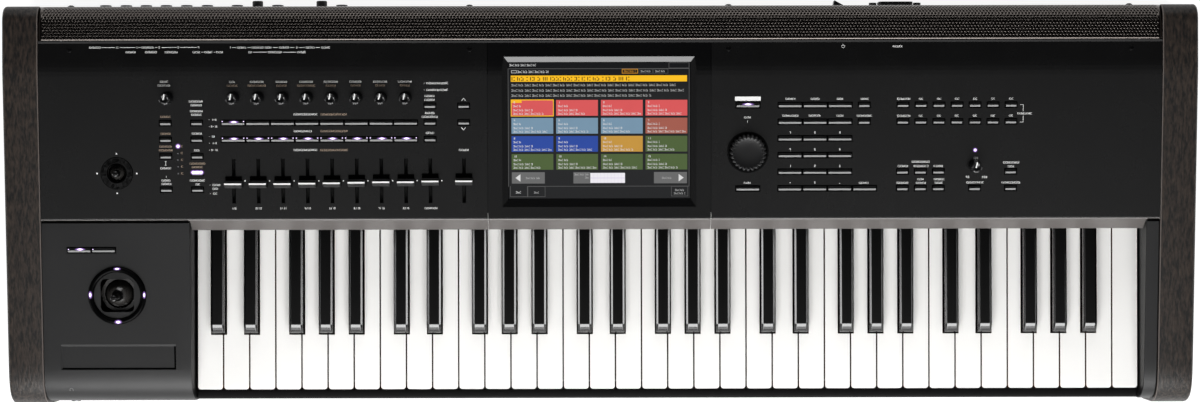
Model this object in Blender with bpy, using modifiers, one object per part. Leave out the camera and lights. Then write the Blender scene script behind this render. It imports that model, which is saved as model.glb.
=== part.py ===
"""A music workstation with 61 full-size keys, as an assembly: casing, keybed, controls and electronics.

Units are metres. +X runs to the player's right, +Y to the rear and +Z up, and the origin lies under the
middle of the instrument on the surface that it stands on. The sloping control deck has a frame of its own:
x across, v up the slope and w square to it.
"""

import math

import bmesh
import bpy
from mathutils import Matrix, Vector
from mathutils.geometry import interpolate_bezier

# Casing
HALF_WIDTH = 0.526
CHEEK_THICKNESS = 0.0314
CHEEK_FRONT_Y = -0.181
CHEEK_PROUD = 0.0008
CHEEK_EDGE_RADIUS = 0.003
CHEEK_REAR_ROUNDING = (0.014, 0.013)
INNER_HALF_WIDTH = 0.4941
REAR_Y = 0.1733
FLOOR_GAP = 0.010
SHEET = 0.0016
CLEARANCE = 0.0004
PAN_FRONT = (-0.165, 0.030)

# Deck
DECK_Y = -0.016
DECK_Z = 0.107
DECK_SLOPE = 0.0963
DECK_TILT = math.atan(DECK_SLOPE)
# The slope eases off to level between these two, and the level strip ends at the vent
DECK_BEND_Y = (0.111, 0.123)
DECK_REAR_Y = 0.142
DECK_FLANGE_Z = 0.112
LIP_REAR_Y = -0.0158
LIP_FRONT = (-0.0246, 0.092)
LIP_ROUNDING = 0.0016
VENT_THICKNESS = 0.0012
VENT_RADIUS = 0.017
LEFT_BLOCK_GAP_Y = -0.0166

# Front blocks either side of the keys
BLOCK_DROP = 0.001
BLOCK_REAR_Y = -0.0178
BLOCK_FRONT_Y = -0.178
BLOCK_WALL = 0.0025
BLOCK_BOTTOM_Z = 0.0125
JOYSTICK_PANEL_RIGHT = -0.3634
RIGHT_BLOCK_LEFT = 0.4826
FRONT_CURVE_START_Y = -0.140
FRONT_CURVE_KNEE_Y = -0.165
FRONT_SHOULDER_Z = 0.089
FRONT_FACE_TOP_Z = 0.055
SLIP_TOP_Z = 0.0575
SLIP_REAR_Y = -0.1688

# Keys
OCTAVE = 0.164
KEYS_LEFT = -0.3617
WHITE_PITCH = OCTAVE / 7
KEY_GAP = 0.001
KEY_FRONT_Y = -0.1678
KEY_TOP_Z = 0.069
KEY_THICKNESS = 0.008
KEY_LIP_DROP = 0.011
KEY_LIP_THICKNESS = 0.003
KEY_LIP_INSET = 0.0006
KEY_CORNER = 0.0013
KEY_BAR_FRONT_Y = 0.0225
KEY_BAR_REAR_Y = 0.0405
KEY_PIVOT = (0.0355, 0.065)
BLACK_CENTRES = (0.0194, 0.0490, 0.0895, 0.1161, 0.1429)
BLACK_SLOT = 0.0143
BLACK_SLOT_FRONT_Y = -0.1187
BLACK_FRONT_Y = -0.117
BLACK_REAR_Y = 0.020
BLACK_BASE = 0.0128
BLACK_FLAT = 0.0082
BLACK_TOP_Z = 0.081
BLACK_FRONT_SLOPE = 0.0073
BLACK_BAR = (0.010, 0.0735, 0.079)

# Button caps, given by the middle of their light front edge
ROW_V = [0.1000 - 0.01472 * row for row in range(6)]
SMALL_CAP = 0.0092
WIDE_CAP = 0.0199
CAP_FRONT = -0.0010
CAP_REAR = 0.0029
CAP_BEVEL = 0.0019
CAP_TOP = 0.0012
OPENING_FRONT = -0.0018
OPENING_REAR = 0.0036
OPENING_MARGIN = 0.0009
# How far a cutter reaches below and above the deck's face
CUT_BELOW, CUT_ABOVE = -0.006, 0.004
CARRIER_TOP = -0.0030
CARRIER_THICKNESS = 0.0015

# Button columns
LEFT_COLUMN_X = -0.3830
SECOND_COLUMN_X = -0.3554
MIXER_X = -0.3233
MIXER_PITCH = 0.0217
MIXER_COUNT = 8
MASTER_X = -0.1499
VALUE_X = -0.1202
DIAL_X = 0.1300
MODE_X = 0.1671
MODE_PITCH = 0.0220
HELP_X = 0.2323
BANK_X = 0.2664
BANK_PITCH = 0.01585
BANK_COUNT = 7
TEMPO_X = 0.3301
SAMPLING_X = 0.3618
SWITCH_X = (-0.4612, -0.4396)
SWITCH_V = -0.0273

# Knobs, dial and sliders
KNOB_V = 0.1080
VOLUME_X = -0.3815
TEMPO_V = 0.0468
KNOB_HEIGHT = 0.0160
KNOB_BASE_RADIUS = 0.0058
KNOB_TOP_RADIUS = 0.0046
KNOB_SHAFT_RADIUS = 0.0030
KNOB_HOLE_RADIUS = 0.0038
DIAL_V = 0.0595
DIAL_RADIUS = 0.0163
DIAL_HEIGHT = 0.0090
DIAL_NOTCHES = 12
SLOT_FRONT = 0.0152
SLOT_REAR = 0.0544
SLOT_WIDTH = 0.0025
SLIDER_WIDTH = 0.0154
SLIDER_HEIGHT = 0.0078
# Where the caps stand along their slots: the eight channels, then master and value
SLIDER_REST_V = (0.0321, 0.0322, 0.0322, 0.0325, 0.0328, 0.0332, 0.0336, 0.0336, 0.0342, 0.0343)

# Display
CENTRE_PLATE = (-0.0995, 0.0978)
CENTRE_PLATE_THICKNESS = 0.0025
DISPLAY_FRAME_V = (0.0040, 0.1440)
DISPLAY_FLANGE_V = (0.0060, 0.1290)
DISPLAY_FLANGE = 0.0050
DISPLAY_OUTER = ((-0.0867, 0.0111), (0.0848, 0.1465))
DISPLAY_BEVEL = ((0.0054, 0.0071), (0.0052, 0.0073))
DISPLAY_DEPTH = 0.003
DISPLAY_FLOOR = -0.0078

# Sticks: across, up the slope, pivot depth, dome radius, gimbal inner and outer radius, tip height
JOYSTICK = {"x": -0.4282, "v": -0.0668, "pivot": -0.0150, "dome": 0.0122, "inner": 0.0132, "outer": 0.0162,
            "ring": 0.0025, "pin": 0.0016, "stick": 0.0024, "tip": 0.0031, "height": 0.0200}
VECTOR = {"x": -0.4264, "v": 0.0420, "pivot": -0.0085, "dome": 0.0076, "inner": 0.0084, "outer": 0.0108,
          "ring": 0.0017, "pin": 0.0011, "stick": 0.0020, "tip": 0.0029, "height": 0.0090}
PIN_CLEARANCE = 0.0003
WELL_HALF = 0.0148
WELL_CORNER = 0.0045
JOYSTICK_RING = (0.0206, 0.0259, 0.0026)
VECTOR_RING = (0.0094, 0.0138, 0.0008)
VECTOR_HOLE_RADIUS = 0.0088
RIBBON = ((-0.4794, -0.1327), (-0.3777, -0.1106))
RIBBON_WALL = 0.0017
RIBBON_DEPTH = 0.0010

# Rear connectors, seen from behind the instrument as a row at one height
CONNECTOR_WINDOW = (-0.4560, -0.0600, 0.0475, 0.0725)
JACK_X = (-0.4447, -0.4262, -0.4082, -0.3902, -0.3718, -0.3533, -0.3263, -0.2899, -0.2323)
JACK_Z = 0.060
JACK_BORE = 0.0034
JACK_NUT = 0.0052
JACK_PROUD = 0.0040
JACK_DEPTH = 0.022
LEVEL_KNOB_X = (-0.3080, -0.2504)
LEVEL_KNOB_LENGTH = 0.0077
MAIN_BOARD_Z = 0.040
BOARD_THICKNESS = 0.0016
POWER_WINDOW = (0.2040, 0.2925, 0.0425, 0.0725)
POWER_SUPPLY_TOP = 0.080
ROCKER_X = 0.2192
ROCKER_THROW = math.radians(14)
ROCKER_WELL = (0.0114, 0.0070, 0.0100)
INLET_X = 0.2654
INLET_Z = 0.0575
INLET_SIZE = (0.0245, 0.0165, 0.016)
INLET_BLOCK = (0.0306, 0.0230, 0.0056)
INLET_FLANGE = (0.0500, 0.0260, 0.0020)
INLET_SCREWS = (0.0199, 0.0035, 0.0051)
HEADPHONE = (-0.4776, 0.030)

# Feet
FOOT_RADIUS = 0.011
FOOT_HEIGHT = 0.0097
FOOT_X = 0.440
FOOT_FRONT_Y = -0.135
FOOT_REAR_Y = 0.135

# Colour, roughness and metallic value of each finish
FINISHES = {
    "black_paint": ((0.020, 0.020, 0.021), 0.55, 0.0),
    "gloss_black": ((0.008, 0.008, 0.009), 0.22, 0.0),
    "moulded_black": ((0.030, 0.031, 0.033), 0.50, 0.0),
    "cheek_brown": ((0.045, 0.038, 0.035), 0.60, 0.0),
    "key_white": ((0.85, 0.84, 0.82), 0.25, 0.0),
    "key_black": ((0.010, 0.010, 0.010), 0.30, 0.0),
    "rubber": ((0.020, 0.020, 0.020), 0.85, 0.0),
    "steel": ((0.45, 0.45, 0.46), 0.40, 1.0),
    "circuit_board": ((0.020, 0.110, 0.050), 0.45, 0.0),
    "screen_glass": ((0.015, 0.016, 0.018), 0.08, 0.0),
}


def clear_scene():
    for obj in list(bpy.data.objects):
        bpy.data.objects.remove(obj, do_unlink=True)


def new_collection(name, hidden=False):
    collection = bpy.data.collections.new(name)
    bpy.context.scene.collection.children.link(collection)
    collection.hide_render = hidden
    return collection


def new_material(name, finish):
    colour, roughness, metallic = FINISHES[finish]
    material = bpy.data.materials.new(name + "_finish")
    material.use_nodes = True
    shader = material.node_tree.nodes["Principled BSDF"]
    shader.inputs["Base Color"].default_value = (*colour, 1.0)
    shader.inputs["Roughness"].default_value = roughness
    shader.inputs["Metallic"].default_value = metallic
    return material


def new_mesh(bm, name="shape"):
    mesh = bpy.data.meshes.new(name)
    bm.normal_update()
    bm.to_mesh(mesh)
    bm.free()
    return mesh


def new_empty(name, location, rotation):
    empty = bpy.data.objects.new(name, None)
    empty.location = location
    empty.rotation_euler = rotation
    PARTS.objects.link(empty)
    return empty


def new_part(name, mesh, finish, parent=None, location=(0, 0, 0), rotation=(0, 0, 0)):
    mesh.name = name
    obj = bpy.data.objects.new(name, mesh)
    obj.parent = parent
    obj.location = location
    obj.rotation_euler = rotation
    obj.data.materials.append(new_material(name, finish))
    PARTS.objects.link(obj)
    return obj


def add_boolean(part, mesh, operation, parent=None, location=(0, 0, 0)):
    """Cut a mesh from a part, or join it on. The mesh stands in the given parent's frame."""
    label = f"{part.name}_{operation.lower()}_{len(part.modifiers)}"
    helper = bpy.data.objects.new(label, mesh)
    helper.parent = parent
    helper.location = location
    helper.hide_render = True
    helper.display_type = "WIRE"
    CUTTERS.objects.link(helper)
    modifier = part.modifiers.new(operation.title(), "BOOLEAN")
    modifier.operation = operation
    modifier.object = helper
    modifier.solver = "EXACT"


def box(bm, low, high):
    size = Vector(high) - Vector(low)
    middle = (Vector(high) + Vector(low)) / 2
    place = Matrix.Translation(middle) @ Matrix.Diagonal((*size, 1))
    return bmesh.ops.create_cube(bm, size=1, matrix=place)["verts"]


def rod(bm, radius, low, high, axis="Z", sides=10, centre=(0, 0, 0)):
    """A cylinder about an axis through the centre, from low to high along it."""
    turn = {"X": Matrix.Rotation(math.pi / 2, 4, "Y"), "Y": Matrix.Rotation(-math.pi / 2, 4, "X"),
            "Z": Matrix.Identity(4)}[axis]
    along = Matrix.Translation((0, 0, (low + high) / 2))
    place = Matrix.Translation(centre) @ turn @ along
    bmesh.ops.create_cone(bm, cap_ends=True, segments=sides, radius1=radius, radius2=radius,
                          depth=high - low, matrix=place)


def boxes_mesh(boxes):
    bm = bmesh.new()
    for low, high in boxes:
        box(bm, low, high)
    return new_mesh(bm)


def rods_mesh(rods):
    bm = bmesh.new()
    for settings in rods:
        rod(bm, **settings)
    return new_mesh(bm)


def prism(bm, section, low, high):
    """A bar along X with the given section in Y and Z."""
    face = bm.faces.new([bm.verts.new((low, y, z)) for y, z in section])
    swept = bmesh.ops.extrude_face_region(bm, geom=[face])["geom"]
    moved = [item for item in swept if isinstance(item, bmesh.types.BMVert)]
    bmesh.ops.translate(bm, verts=moved, vec=(high - low, 0, 0))


def prisms_mesh(bars):
    bm = bmesh.new()
    for section, low, high in bars:
        prism(bm, section, low, high)
    bmesh.ops.recalc_face_normals(bm, faces=bm.faces)
    return new_mesh(bm)


def plate_mesh(outlines, low, high):
    """Flat outlines in X and Y, an inner one being a hole, filled and extruded from low to high along Z."""
    curve = bpy.data.curves.new("outline", "CURVE")
    curve.dimensions = "2D"
    curve.fill_mode = "BOTH"
    curve.extrude = (high - low) / 2
    for outline in outlines:
        spline = curve.splines.new("POLY")
        spline.points.add(len(outline) - 1)
        for point, (x, y) in zip(spline.points, outline):
            point.co = (x, y, 0, 1)
        spline.use_cyclic_u = True
    holder = bpy.data.objects.new("outline", curve)
    CUTTERS.objects.link(holder)
    graph = bpy.context.evaluated_depsgraph_get()
    mesh = bpy.data.meshes.new_from_object(holder.evaluated_get(graph))
    bpy.data.objects.remove(holder, do_unlink=True)
    bm = bmesh.new()
    bm.from_mesh(mesh)
    bmesh.ops.remove_doubles(bm, verts=bm.verts, dist=1e-6)
    bmesh.ops.recalc_face_normals(bm, faces=bm.faces)
    bmesh.ops.translate(bm, verts=bm.verts, vec=(0, 0, (low + high) / 2))
    return new_mesh(bm)


def side_mesh(outline, low, high):
    """A side outline in Y and Z filled and extruded from low to high along X."""
    mesh = plate_mesh([outline], low, high)
    mesh.transform(Matrix(((0, 0, 1, 0), (1, 0, 0, 0), (0, 1, 0, 0), (0, 0, 0, 1))))
    return mesh


def sheet_part(name, profile, finish, thickness, left=-INNER_HALF_WIDTH, right=INNER_HALF_WIDTH):
    """A sheet bent along a side profile in Y and Z, whose outer face is the profile itself."""
    bm = bmesh.new()
    low = [bm.verts.new((left, y, z)) for y, z in profile]
    edges = [bm.edges.new(pair) for pair in zip(low, low[1:])]
    swept = bmesh.ops.extrude_edge_only(bm, edges=edges)["geom"]
    moved = [item for item in swept if isinstance(item, bmesh.types.BMVert)]
    bmesh.ops.translate(bm, verts=moved, vec=(right - left, 0, 0))
    bm.normal_update()
    bmesh.ops.reverse_faces(bm, faces=bm.faces)
    part = new_part(name, new_mesh(bm), finish)
    solidify = part.modifiers.new("Thickness", "SOLIDIFY")
    solidify.thickness = thickness
    solidify.offset = -1
    solidify.use_even_offset = True
    return part


def turned_mesh(profile):
    """The edge of a turned shape, from the top of the axis down the outside: radius and height."""
    bm = bmesh.new()
    points = [bm.verts.new((radius, 0, height)) for radius, height in profile]
    for pair in zip(points, points[1:]):
        bm.edges.new(pair)
    return new_mesh(bm)


def add_turning(part, steps):
    screw = part.modifiers.new("Turning", "SCREW")
    screw.steps = steps
    screw.render_steps = steps
    screw.use_merge_vertices = True
    screw.merge_threshold = 0.0001
    screw.use_smooth_shade = True


def ring_mesh(inner, outer, low, high, sides=16, crown=0.0):
    """A ring of rectangular section about Z, with the middle of its top raised by any crown."""
    section = [(inner, low), (outer, low), (outer, high), (inner, high)]
    if crown:
        section.insert(3, ((inner + outer) / 2, high + crown))
    bm = bmesh.new()
    points = [bm.verts.new((radius, 0, height)) for radius, height in section]
    edges = [bm.edges.new(pair) for pair in zip(points, points[1:] + points[:1])]
    bmesh.ops.spin(bm, geom=points + edges, cent=(0, 0, 0), axis=(0, 0, 1), angle=2 * math.pi, steps=sides,
                   use_merge=True)
    bmesh.ops.remove_doubles(bm, verts=bm.verts, dist=1e-6)
    bmesh.ops.recalc_face_normals(bm, faces=bm.faces)
    return new_mesh(bm)


def frustum_mesh(outer, inner, top, bottom):
    """A block whose walls slope from its outer rectangle at the top to its inner one at the bottom."""
    bm = bmesh.new()
    for vert in box(bm, (*outer[0], bottom), (*outer[1], top)):
        if vert.co.z < (top + bottom) / 2:
            low_x = abs(vert.co.x - outer[0][0]) < abs(vert.co.x - outer[1][0])
            low_y = abs(vert.co.y - outer[0][1]) < abs(vert.co.y - outer[1][1])
            vert.co.x = inner[0 if low_x else 1][0]
            vert.co.y = inner[0 if low_y else 1][1]
    return new_mesh(bm)


def recess_mesh(outline, wall, surface, depth):
    """A cutter for a shallow recess with sloping walls, given by its outline on the surface."""
    (left, front), (right, rear) = outline
    above = CLEARANCE
    spread = wall * above / depth
    outer = ((left - spread, front - spread), (right + spread, rear + spread))
    inner = ((left + wall, front + wall), (right - wall, rear - wall))
    return frustum_mesh(outer, inner, surface + above, surface - depth)


def rounded_rectangle(half_x, half_y, radius, steps=3):
    points = []
    for quarter in range(4):
        side_x, side_y = (1, -1, -1, 1)[quarter], (1, 1, -1, -1)[quarter]
        for step in range(steps + 1):
            angle = math.pi / 2 * (quarter + step / steps)
            points.append((side_x * (half_x - radius) + radius * math.cos(angle),
                           side_y * (half_y - radius) + radius * math.sin(angle)))
    return points


def deck_height(y):
    """Height of the deck: it slopes up from the lip and eases off to level near its rear."""
    start, end = DECK_BEND_Y
    eased = min(max(y - start, 0.0), end - start)
    return DECK_Z + (min(y, end) - DECK_Y) * DECK_SLOPE - DECK_SLOPE * eased ** 2 / (2 * (end - start))


def deck_bend():
    """Side points of the deck's bend, from front to rear."""
    start, end = DECK_BEND_Y
    return [(y, deck_height(y)) for y in (start + (end - start) * step / 3 for step in range(4))]


def deck_profile():
    """Side points of the deck's face, from the foot of its lip, over the rounded edge, to its rear."""
    corner = Vector((LIP_REAR_Y, deck_height(LIP_REAR_Y), 0))
    below = corner + (Vector((*LIP_FRONT, 0)) - corner).normalized() * LIP_ROUNDING
    behind = Vector((LIP_REAR_Y + LIP_ROUNDING, deck_height(LIP_REAR_Y + LIP_ROUNDING), 0))
    edge = interpolate_bezier(below, (below + corner * 2) / 3, (behind + corner * 2) / 3, behind, 4)
    rear = (DECK_REAR_Y, deck_height(DECK_REAR_Y))
    return [LIP_FRONT] + [(point.x, point.y) for point in edge] + deck_bend() + [rear]


def front_curve(front_y, lift):
    """The rounded front of a block or cheek, from its top down to its face."""
    start, knee = FRONT_CURVE_START_Y, FRONT_CURVE_KNEE_Y
    points = interpolate_bezier(
        Vector((start, deck_height(start) + lift, 0)), Vector((knee, deck_height(knee) + lift, 0)),
        Vector((front_y, FRONT_SHOULDER_Z + lift, 0)), Vector((front_y, FRONT_FACE_TOP_Z, 0)), 9)
    return [(point.x, point.y) for point in points]


def block_outline(front_y, lift, rear_y, bottom_z):
    """Side outline of a front block: it follows the deck, then rounds over at the front."""
    return [(rear_y, bottom_z), (rear_y, deck_height(rear_y) + lift), *front_curve(front_y, lift),
            (front_y, bottom_z)]


def make_cheek(name, side):
    """An end panel: a thick board with a rounded nose, its outer edges eased."""
    back, down = CHEEK_REAR_ROUNDING
    rear_arc = [(REAR_Y - back * (1 - math.sin(angle)), deck_height(REAR_Y) - down * (1 - math.cos(angle)))
                for angle in (math.pi / 2 * step / 4 for step in range(5))]
    outline = [(CHEEK_FRONT_Y + 0.004, FLOOR_GAP + 0.0005), (REAR_Y, FLOOR_GAP + 0.0005)]
    outline += [(y, z + CHEEK_PROUD) for y, z in reversed(rear_arc)]
    outline += [(y, z + CHEEK_PROUD) for y, z in reversed(deck_bend())]
    outline += front_curve(CHEEK_FRONT_Y, CHEEK_PROUD) + [(CHEEK_FRONT_Y, 0.018)]
    inner = HALF_WIDTH - CHEEK_THICKNESS
    mesh = side_mesh(outline, inner * side, HALF_WIDTH * side) if side > 0 else side_mesh(
        outline, -HALF_WIDTH, -inner)
    bm = bmesh.new()
    bm.from_mesh(mesh)
    outer = [edge for edge in bm.edges
             if all(abs(abs(vert.co.x) - HALF_WIDTH) < 1e-5 for vert in edge.verts)
             and len({face.normal.x > 0.5 or face.normal.x < -0.5 for face in edge.link_faces}) == 2]
    bmesh.ops.bevel(bm, geom=outer, offset=CHEEK_EDGE_RADIUS, segments=2, affect="EDGES", profile=0.5)
    bm.to_mesh(mesh)
    bm.free()
    new_part(name, mesh, "cheek_brown")


def make_chassis_pan():
    """Folded steel tray: floor, rear wall with windows for the connectors, and a low front wall."""
    low = FLOOR_GAP
    front = PAN_FRONT[0]
    top = deck_height(REAR_Y) - VENT_RADIUS - CLEARANCE * 2
    profile = [PAN_FRONT, (front, low), (REAR_Y, low), (REAR_Y, top)]
    pan = sheet_part("chassis_pan", profile, "black_paint", SHEET)
    x0, x1, z0, z1 = CONNECTOR_WINDOW
    p0, p1, q0, q1 = POWER_WINDOW
    deep, past = REAR_Y - 0.006, REAR_Y + 0.004
    step = low + SHEET + 0.0002
    cuts = [((x0, deep, z0), (x1, past, z1)), ((p0, deep, q0), (p1, past, q1)),
            ((-0.500, front - 0.004, step), (JOYSTICK_PANEL_RIGHT + 0.004, front + 0.006, 0.034)),
            ((RIGHT_BLOCK_LEFT - 0.001, front - 0.004, step), (0.500, front + 0.006, 0.034))]
    add_boolean(pan, boxes_mesh(cuts), "DIFFERENCE")


def button_rows():
    """Every button as group, middle across, row up the slope and cap width."""
    rows = []
    for row in (1, 2, 3, 5):
        rows.append(("left_buttons", LEFT_COLUMN_X, ROW_V[row], SMALL_CAP))
    for row in (1, 2, 3, 4, 5):
        rows.append(("left_buttons", SECOND_COLUMN_X, ROW_V[row], SMALL_CAP))
    for row in (1, 2):
        for channel in range(MIXER_COUNT):
            rows.append(("mixer_buttons", MIXER_X + MIXER_PITCH * channel, ROW_V[row], WIDE_CAP))
    for row in (0, 1, 2):
        rows.append(("mixer_buttons", MASTER_X, ROW_V[row], SMALL_CAP))
    for row in (0, 1):
        rows.append(("mixer_buttons", VALUE_X, ROW_V[row], SMALL_CAP))
    for row in (0, 5):
        rows.append(("mode_and_keypad_buttons", DIAL_X, ROW_V[row], WIDE_CAP))
    for row in range(6):
        for column in range(4 if row == 5 else 3):
            rows.append(("mode_and_keypad_buttons", MODE_X + MODE_PITCH * column, ROW_V[row], WIDE_CAP))
    for row in (0, 1):
        rows.append(("mode_and_keypad_buttons", HELP_X, ROW_V[row], SMALL_CAP))
        for bank in range(BANK_COUNT):
            rows.append(("bank_and_sequencer_buttons", BANK_X + BANK_PITCH * bank, ROW_V[row], SMALL_CAP))
    for row in (4, 5):
        for column in range(3):
            rows.append(("bank_and_sequencer_buttons", BANK_X + BANK_PITCH * column, ROW_V[row], SMALL_CAP))
        rows.append(("bank_and_sequencer_buttons", SAMPLING_X, ROW_V[row], SMALL_CAP))
    rows.append(("bank_and_sequencer_buttons", TEMPO_X, ROW_V[5], SMALL_CAP))
    for x in SWITCH_X:
        rows.append(("switch_buttons", x, SWITCH_V, WIDE_CAP))
    return rows


def opening_box(left, right, v):
    """The low and high corner of the opening for caps that stand from left to right in a row."""
    return ((left - OPENING_MARGIN, v + OPENING_FRONT, CUT_BELOW),
            (right + OPENING_MARGIN, v + OPENING_REAR, CUT_ABOVE))


def button_openings():
    """Openings in the deck: neighbours that stand close share one."""
    openings = []
    for group in sorted({row[0] for row in button_rows()} - {"switch_buttons"}):
        caps = sorted((round(v, 5), x - width / 2, x + width / 2)
                      for name, x, v, width in button_rows() if name == group)
        runs = []
        for v, left, right in caps:
            if runs and runs[-1][0] == v and left - runs[-1][2] < 0.003:
                runs[-1][2] = right
            else:
                runs.append([v, left, right])
        openings += [opening_box(left, right, v) for v, left, right in runs]
    return openings


def slider_places():
    """Name, middle across and rest position up the slope of each of the ten sliders."""
    names = [f"mix_slider_{number + 1}" for number in range(MIXER_COUNT)] + ["master_slider", "value_slider"]
    across = [MIXER_X + MIXER_PITCH * channel for channel in range(MIXER_COUNT)] + [MASTER_X, VALUE_X]
    return list(zip(names, across, SLIDER_REST_V))


def knob_places():
    """Name, middle across and place up the slope of each knob on the deck."""
    places = [("volume_knob", VOLUME_X, KNOB_V)]
    for number in range(MIXER_COUNT):
        places.append((f"control_knob_{number + 1}", MIXER_X + MIXER_PITCH * number, KNOB_V))
    places.append(("tempo_knob", TEMPO_X, TEMPO_V))
    return places


def make_top_panel():
    """The painted steel deck with its front lip, level rear strip, and every opening."""
    profile = deck_profile() + [(DECK_REAR_Y, DECK_FLANGE_Z)]
    panel = sheet_part("top_panel", list(reversed(profile)), "black_paint", SHEET)
    ends = [((-0.500, -0.040, 0.085), (JOYSTICK_PANEL_RIGHT + 0.0006, LEFT_BLOCK_GAP_Y, 0.115)),
            ((RIGHT_BLOCK_LEFT - 0.0006, -0.040, 0.085), (0.500, LEFT_BLOCK_GAP_Y, 0.115))]
    add_boolean(panel, boxes_mesh(ends), "DIFFERENCE")
    # The middle plate runs from the lip to the rear, where only the flange passes under it
    left, right = CENTRE_PLATE
    flange_top = deck_height(DECK_REAR_Y) - CENTRE_PLATE_THICKNESS - CLEARANCE
    field = boxes_mesh([((left, -0.040, 0.080), (right, DECK_REAR_Y - 0.003, 0.130))])
    add_boolean(panel, field, "DIFFERENCE")
    ledge = boxes_mesh([((left, DECK_REAR_Y - 0.004, flange_top), (right, DECK_REAR_Y + 0.004, 0.130))])
    add_boolean(panel, ledge, "DIFFERENCE")
    cuts = bmesh.new()
    for low, high in button_openings():
        box(cuts, low, high)
    for _, x, _ in slider_places():
        box(cuts, (x - SLOT_WIDTH / 2, SLOT_FRONT, CUT_BELOW), (x + SLOT_WIDTH / 2, SLOT_REAR, CUT_ABOVE))
    for _, x, v in knob_places() + [("value_dial", DIAL_X, DIAL_V)]:
        rod(cuts, KNOB_HOLE_RADIUS, CUT_BELOW, CUT_ABOVE, centre=(x, v, 0), sides=8)
    rod(cuts, VECTOR_HOLE_RADIUS, CUT_BELOW, CUT_ABOVE, centre=(VECTOR["x"], VECTOR["v"], 0), sides=16)
    add_boolean(panel, new_mesh(cuts), "DIFFERENCE", DECK)
    inner, outer, height = VECTOR_RING
    ring = ring_mesh(inner, outer, -0.001, height, sides=20)
    add_boolean(panel, ring, "UNION", DECK, (VECTOR["x"], VECTOR["v"], 0))
    add_boolean(panel, gimbal_lugs(VECTOR, -0.0007), "UNION", DECK, (VECTOR["x"], VECTOR["v"], 0))
    add_boolean(panel, gimbal_lug_holes(VECTOR), "DIFFERENCE", DECK, (VECTOR["x"], VECTOR["v"], 0))


def gimbal_lugs(stick, top):
    """Two ears under a panel that the gimbal's pins turn in."""
    inside = stick["outer"] + 0.0009
    reach = inside + 0.0026
    bottom = stick["pivot"] - stick["pin"] - 0.0024
    half = stick["pin"] + 0.0022
    return boxes_mesh([((side * inside if side > 0 else -reach, -half, bottom),
                        (reach if side > 0 else -inside, half, top)) for side in (-1, 1)])


def gimbal_lug_holes(stick):
    """Holes through both ears for the gimbal's pins."""
    near, far = stick["outer"] - 0.001, stick["outer"] + 0.006
    return rods_mesh([dict(radius=stick["pin"] + PIN_CLEARANCE, low=low, high=high, axis="X",
                           centre=(0, 0, stick["pivot"])) for low, high in ((-far, -near), (near, far))])


def make_rear_grille():
    """The vent strip behind the deck: sheet metal that rolls over into the rear wall."""
    flat_z = deck_height(REAR_Y) - CLEARANCE / 2
    start = REAR_Y - VENT_RADIUS
    arc = [(start + VENT_RADIUS * math.sin(angle), flat_z - VENT_RADIUS + VENT_RADIUS * math.cos(angle))
           for angle in (math.pi / 2 * step / 6 for step in range(7))]
    profile = [(DECK_REAR_Y + CLEARANCE, flat_z)] + arc
    profile.reverse()
    sheet_part("rear_grille", profile, "black_paint", VENT_THICKNESS)


def make_joystick_panel():
    """The moulded block left of the keys, hollow below, with the joystick's well, ring and ears."""
    panel = new_part("joystick_panel", side_mesh(
        block_outline(BLOCK_FRONT_Y, -BLOCK_DROP, BLOCK_REAR_Y, BLOCK_BOTTOM_Z),
        -INNER_HALF_WIDTH, JOYSTICK_PANEL_RIGHT), "moulded_black")
    inside = block_outline(BLOCK_FRONT_Y + 0.003, -BLOCK_DROP - BLOCK_WALL, BLOCK_REAR_Y + 0.010, 0.0)
    hollow = side_mesh(inside, -0.510, JOYSTICK_PANEL_RIGHT - BLOCK_WALL)
    add_boolean(panel, hollow, "DIFFERENCE")
    place = (JOYSTICK["x"], JOYSTICK["v"], -BLOCK_DROP)
    inner, outer, height = JOYSTICK_RING
    ring = ring_mesh(inner, outer, -0.001, height * 0.4, sides=24, crown=height * 0.6)
    add_boolean(panel, ring, "UNION", DECK, place)
    add_boolean(panel, gimbal_lugs(JOYSTICK, -0.0012), "UNION", DECK, place)
    add_boolean(panel, gimbal_lug_holes(JOYSTICK), "DIFFERENCE", DECK, place)
    well = plate_mesh([rounded_rectangle(WELL_HALF, WELL_HALF, WELL_CORNER)], -0.004, 0.006)
    add_boolean(panel, well, "DIFFERENCE", DECK, place)
    slot = boxes_mesh([opening_box(SWITCH_X[0] - WIDE_CAP / 2, SWITCH_X[1] + WIDE_CAP / 2, SWITCH_V)])
    add_boolean(panel, slot, "DIFFERENCE", DECK)
    add_boolean(panel, recess_mesh(RIBBON, RIBBON_WALL, -BLOCK_DROP, RIBBON_DEPTH), "DIFFERENCE", DECK)
    x, z = HEADPHONE
    boss = rods_mesh([dict(radius=JACK_NUT, low=BLOCK_FRONT_Y - 0.0015, high=BLOCK_FRONT_Y + 0.026, axis="Y",
                           centre=(x, 0, z))])
    add_boolean(panel, boss, "UNION")
    bore = rods_mesh([dict(radius=JACK_BORE, low=BLOCK_FRONT_Y - 0.004, high=BLOCK_FRONT_Y + JACK_DEPTH,
                           axis="Y", centre=(x, 0, z), sides=12)])
    add_boolean(panel, bore, "DIFFERENCE")


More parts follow.
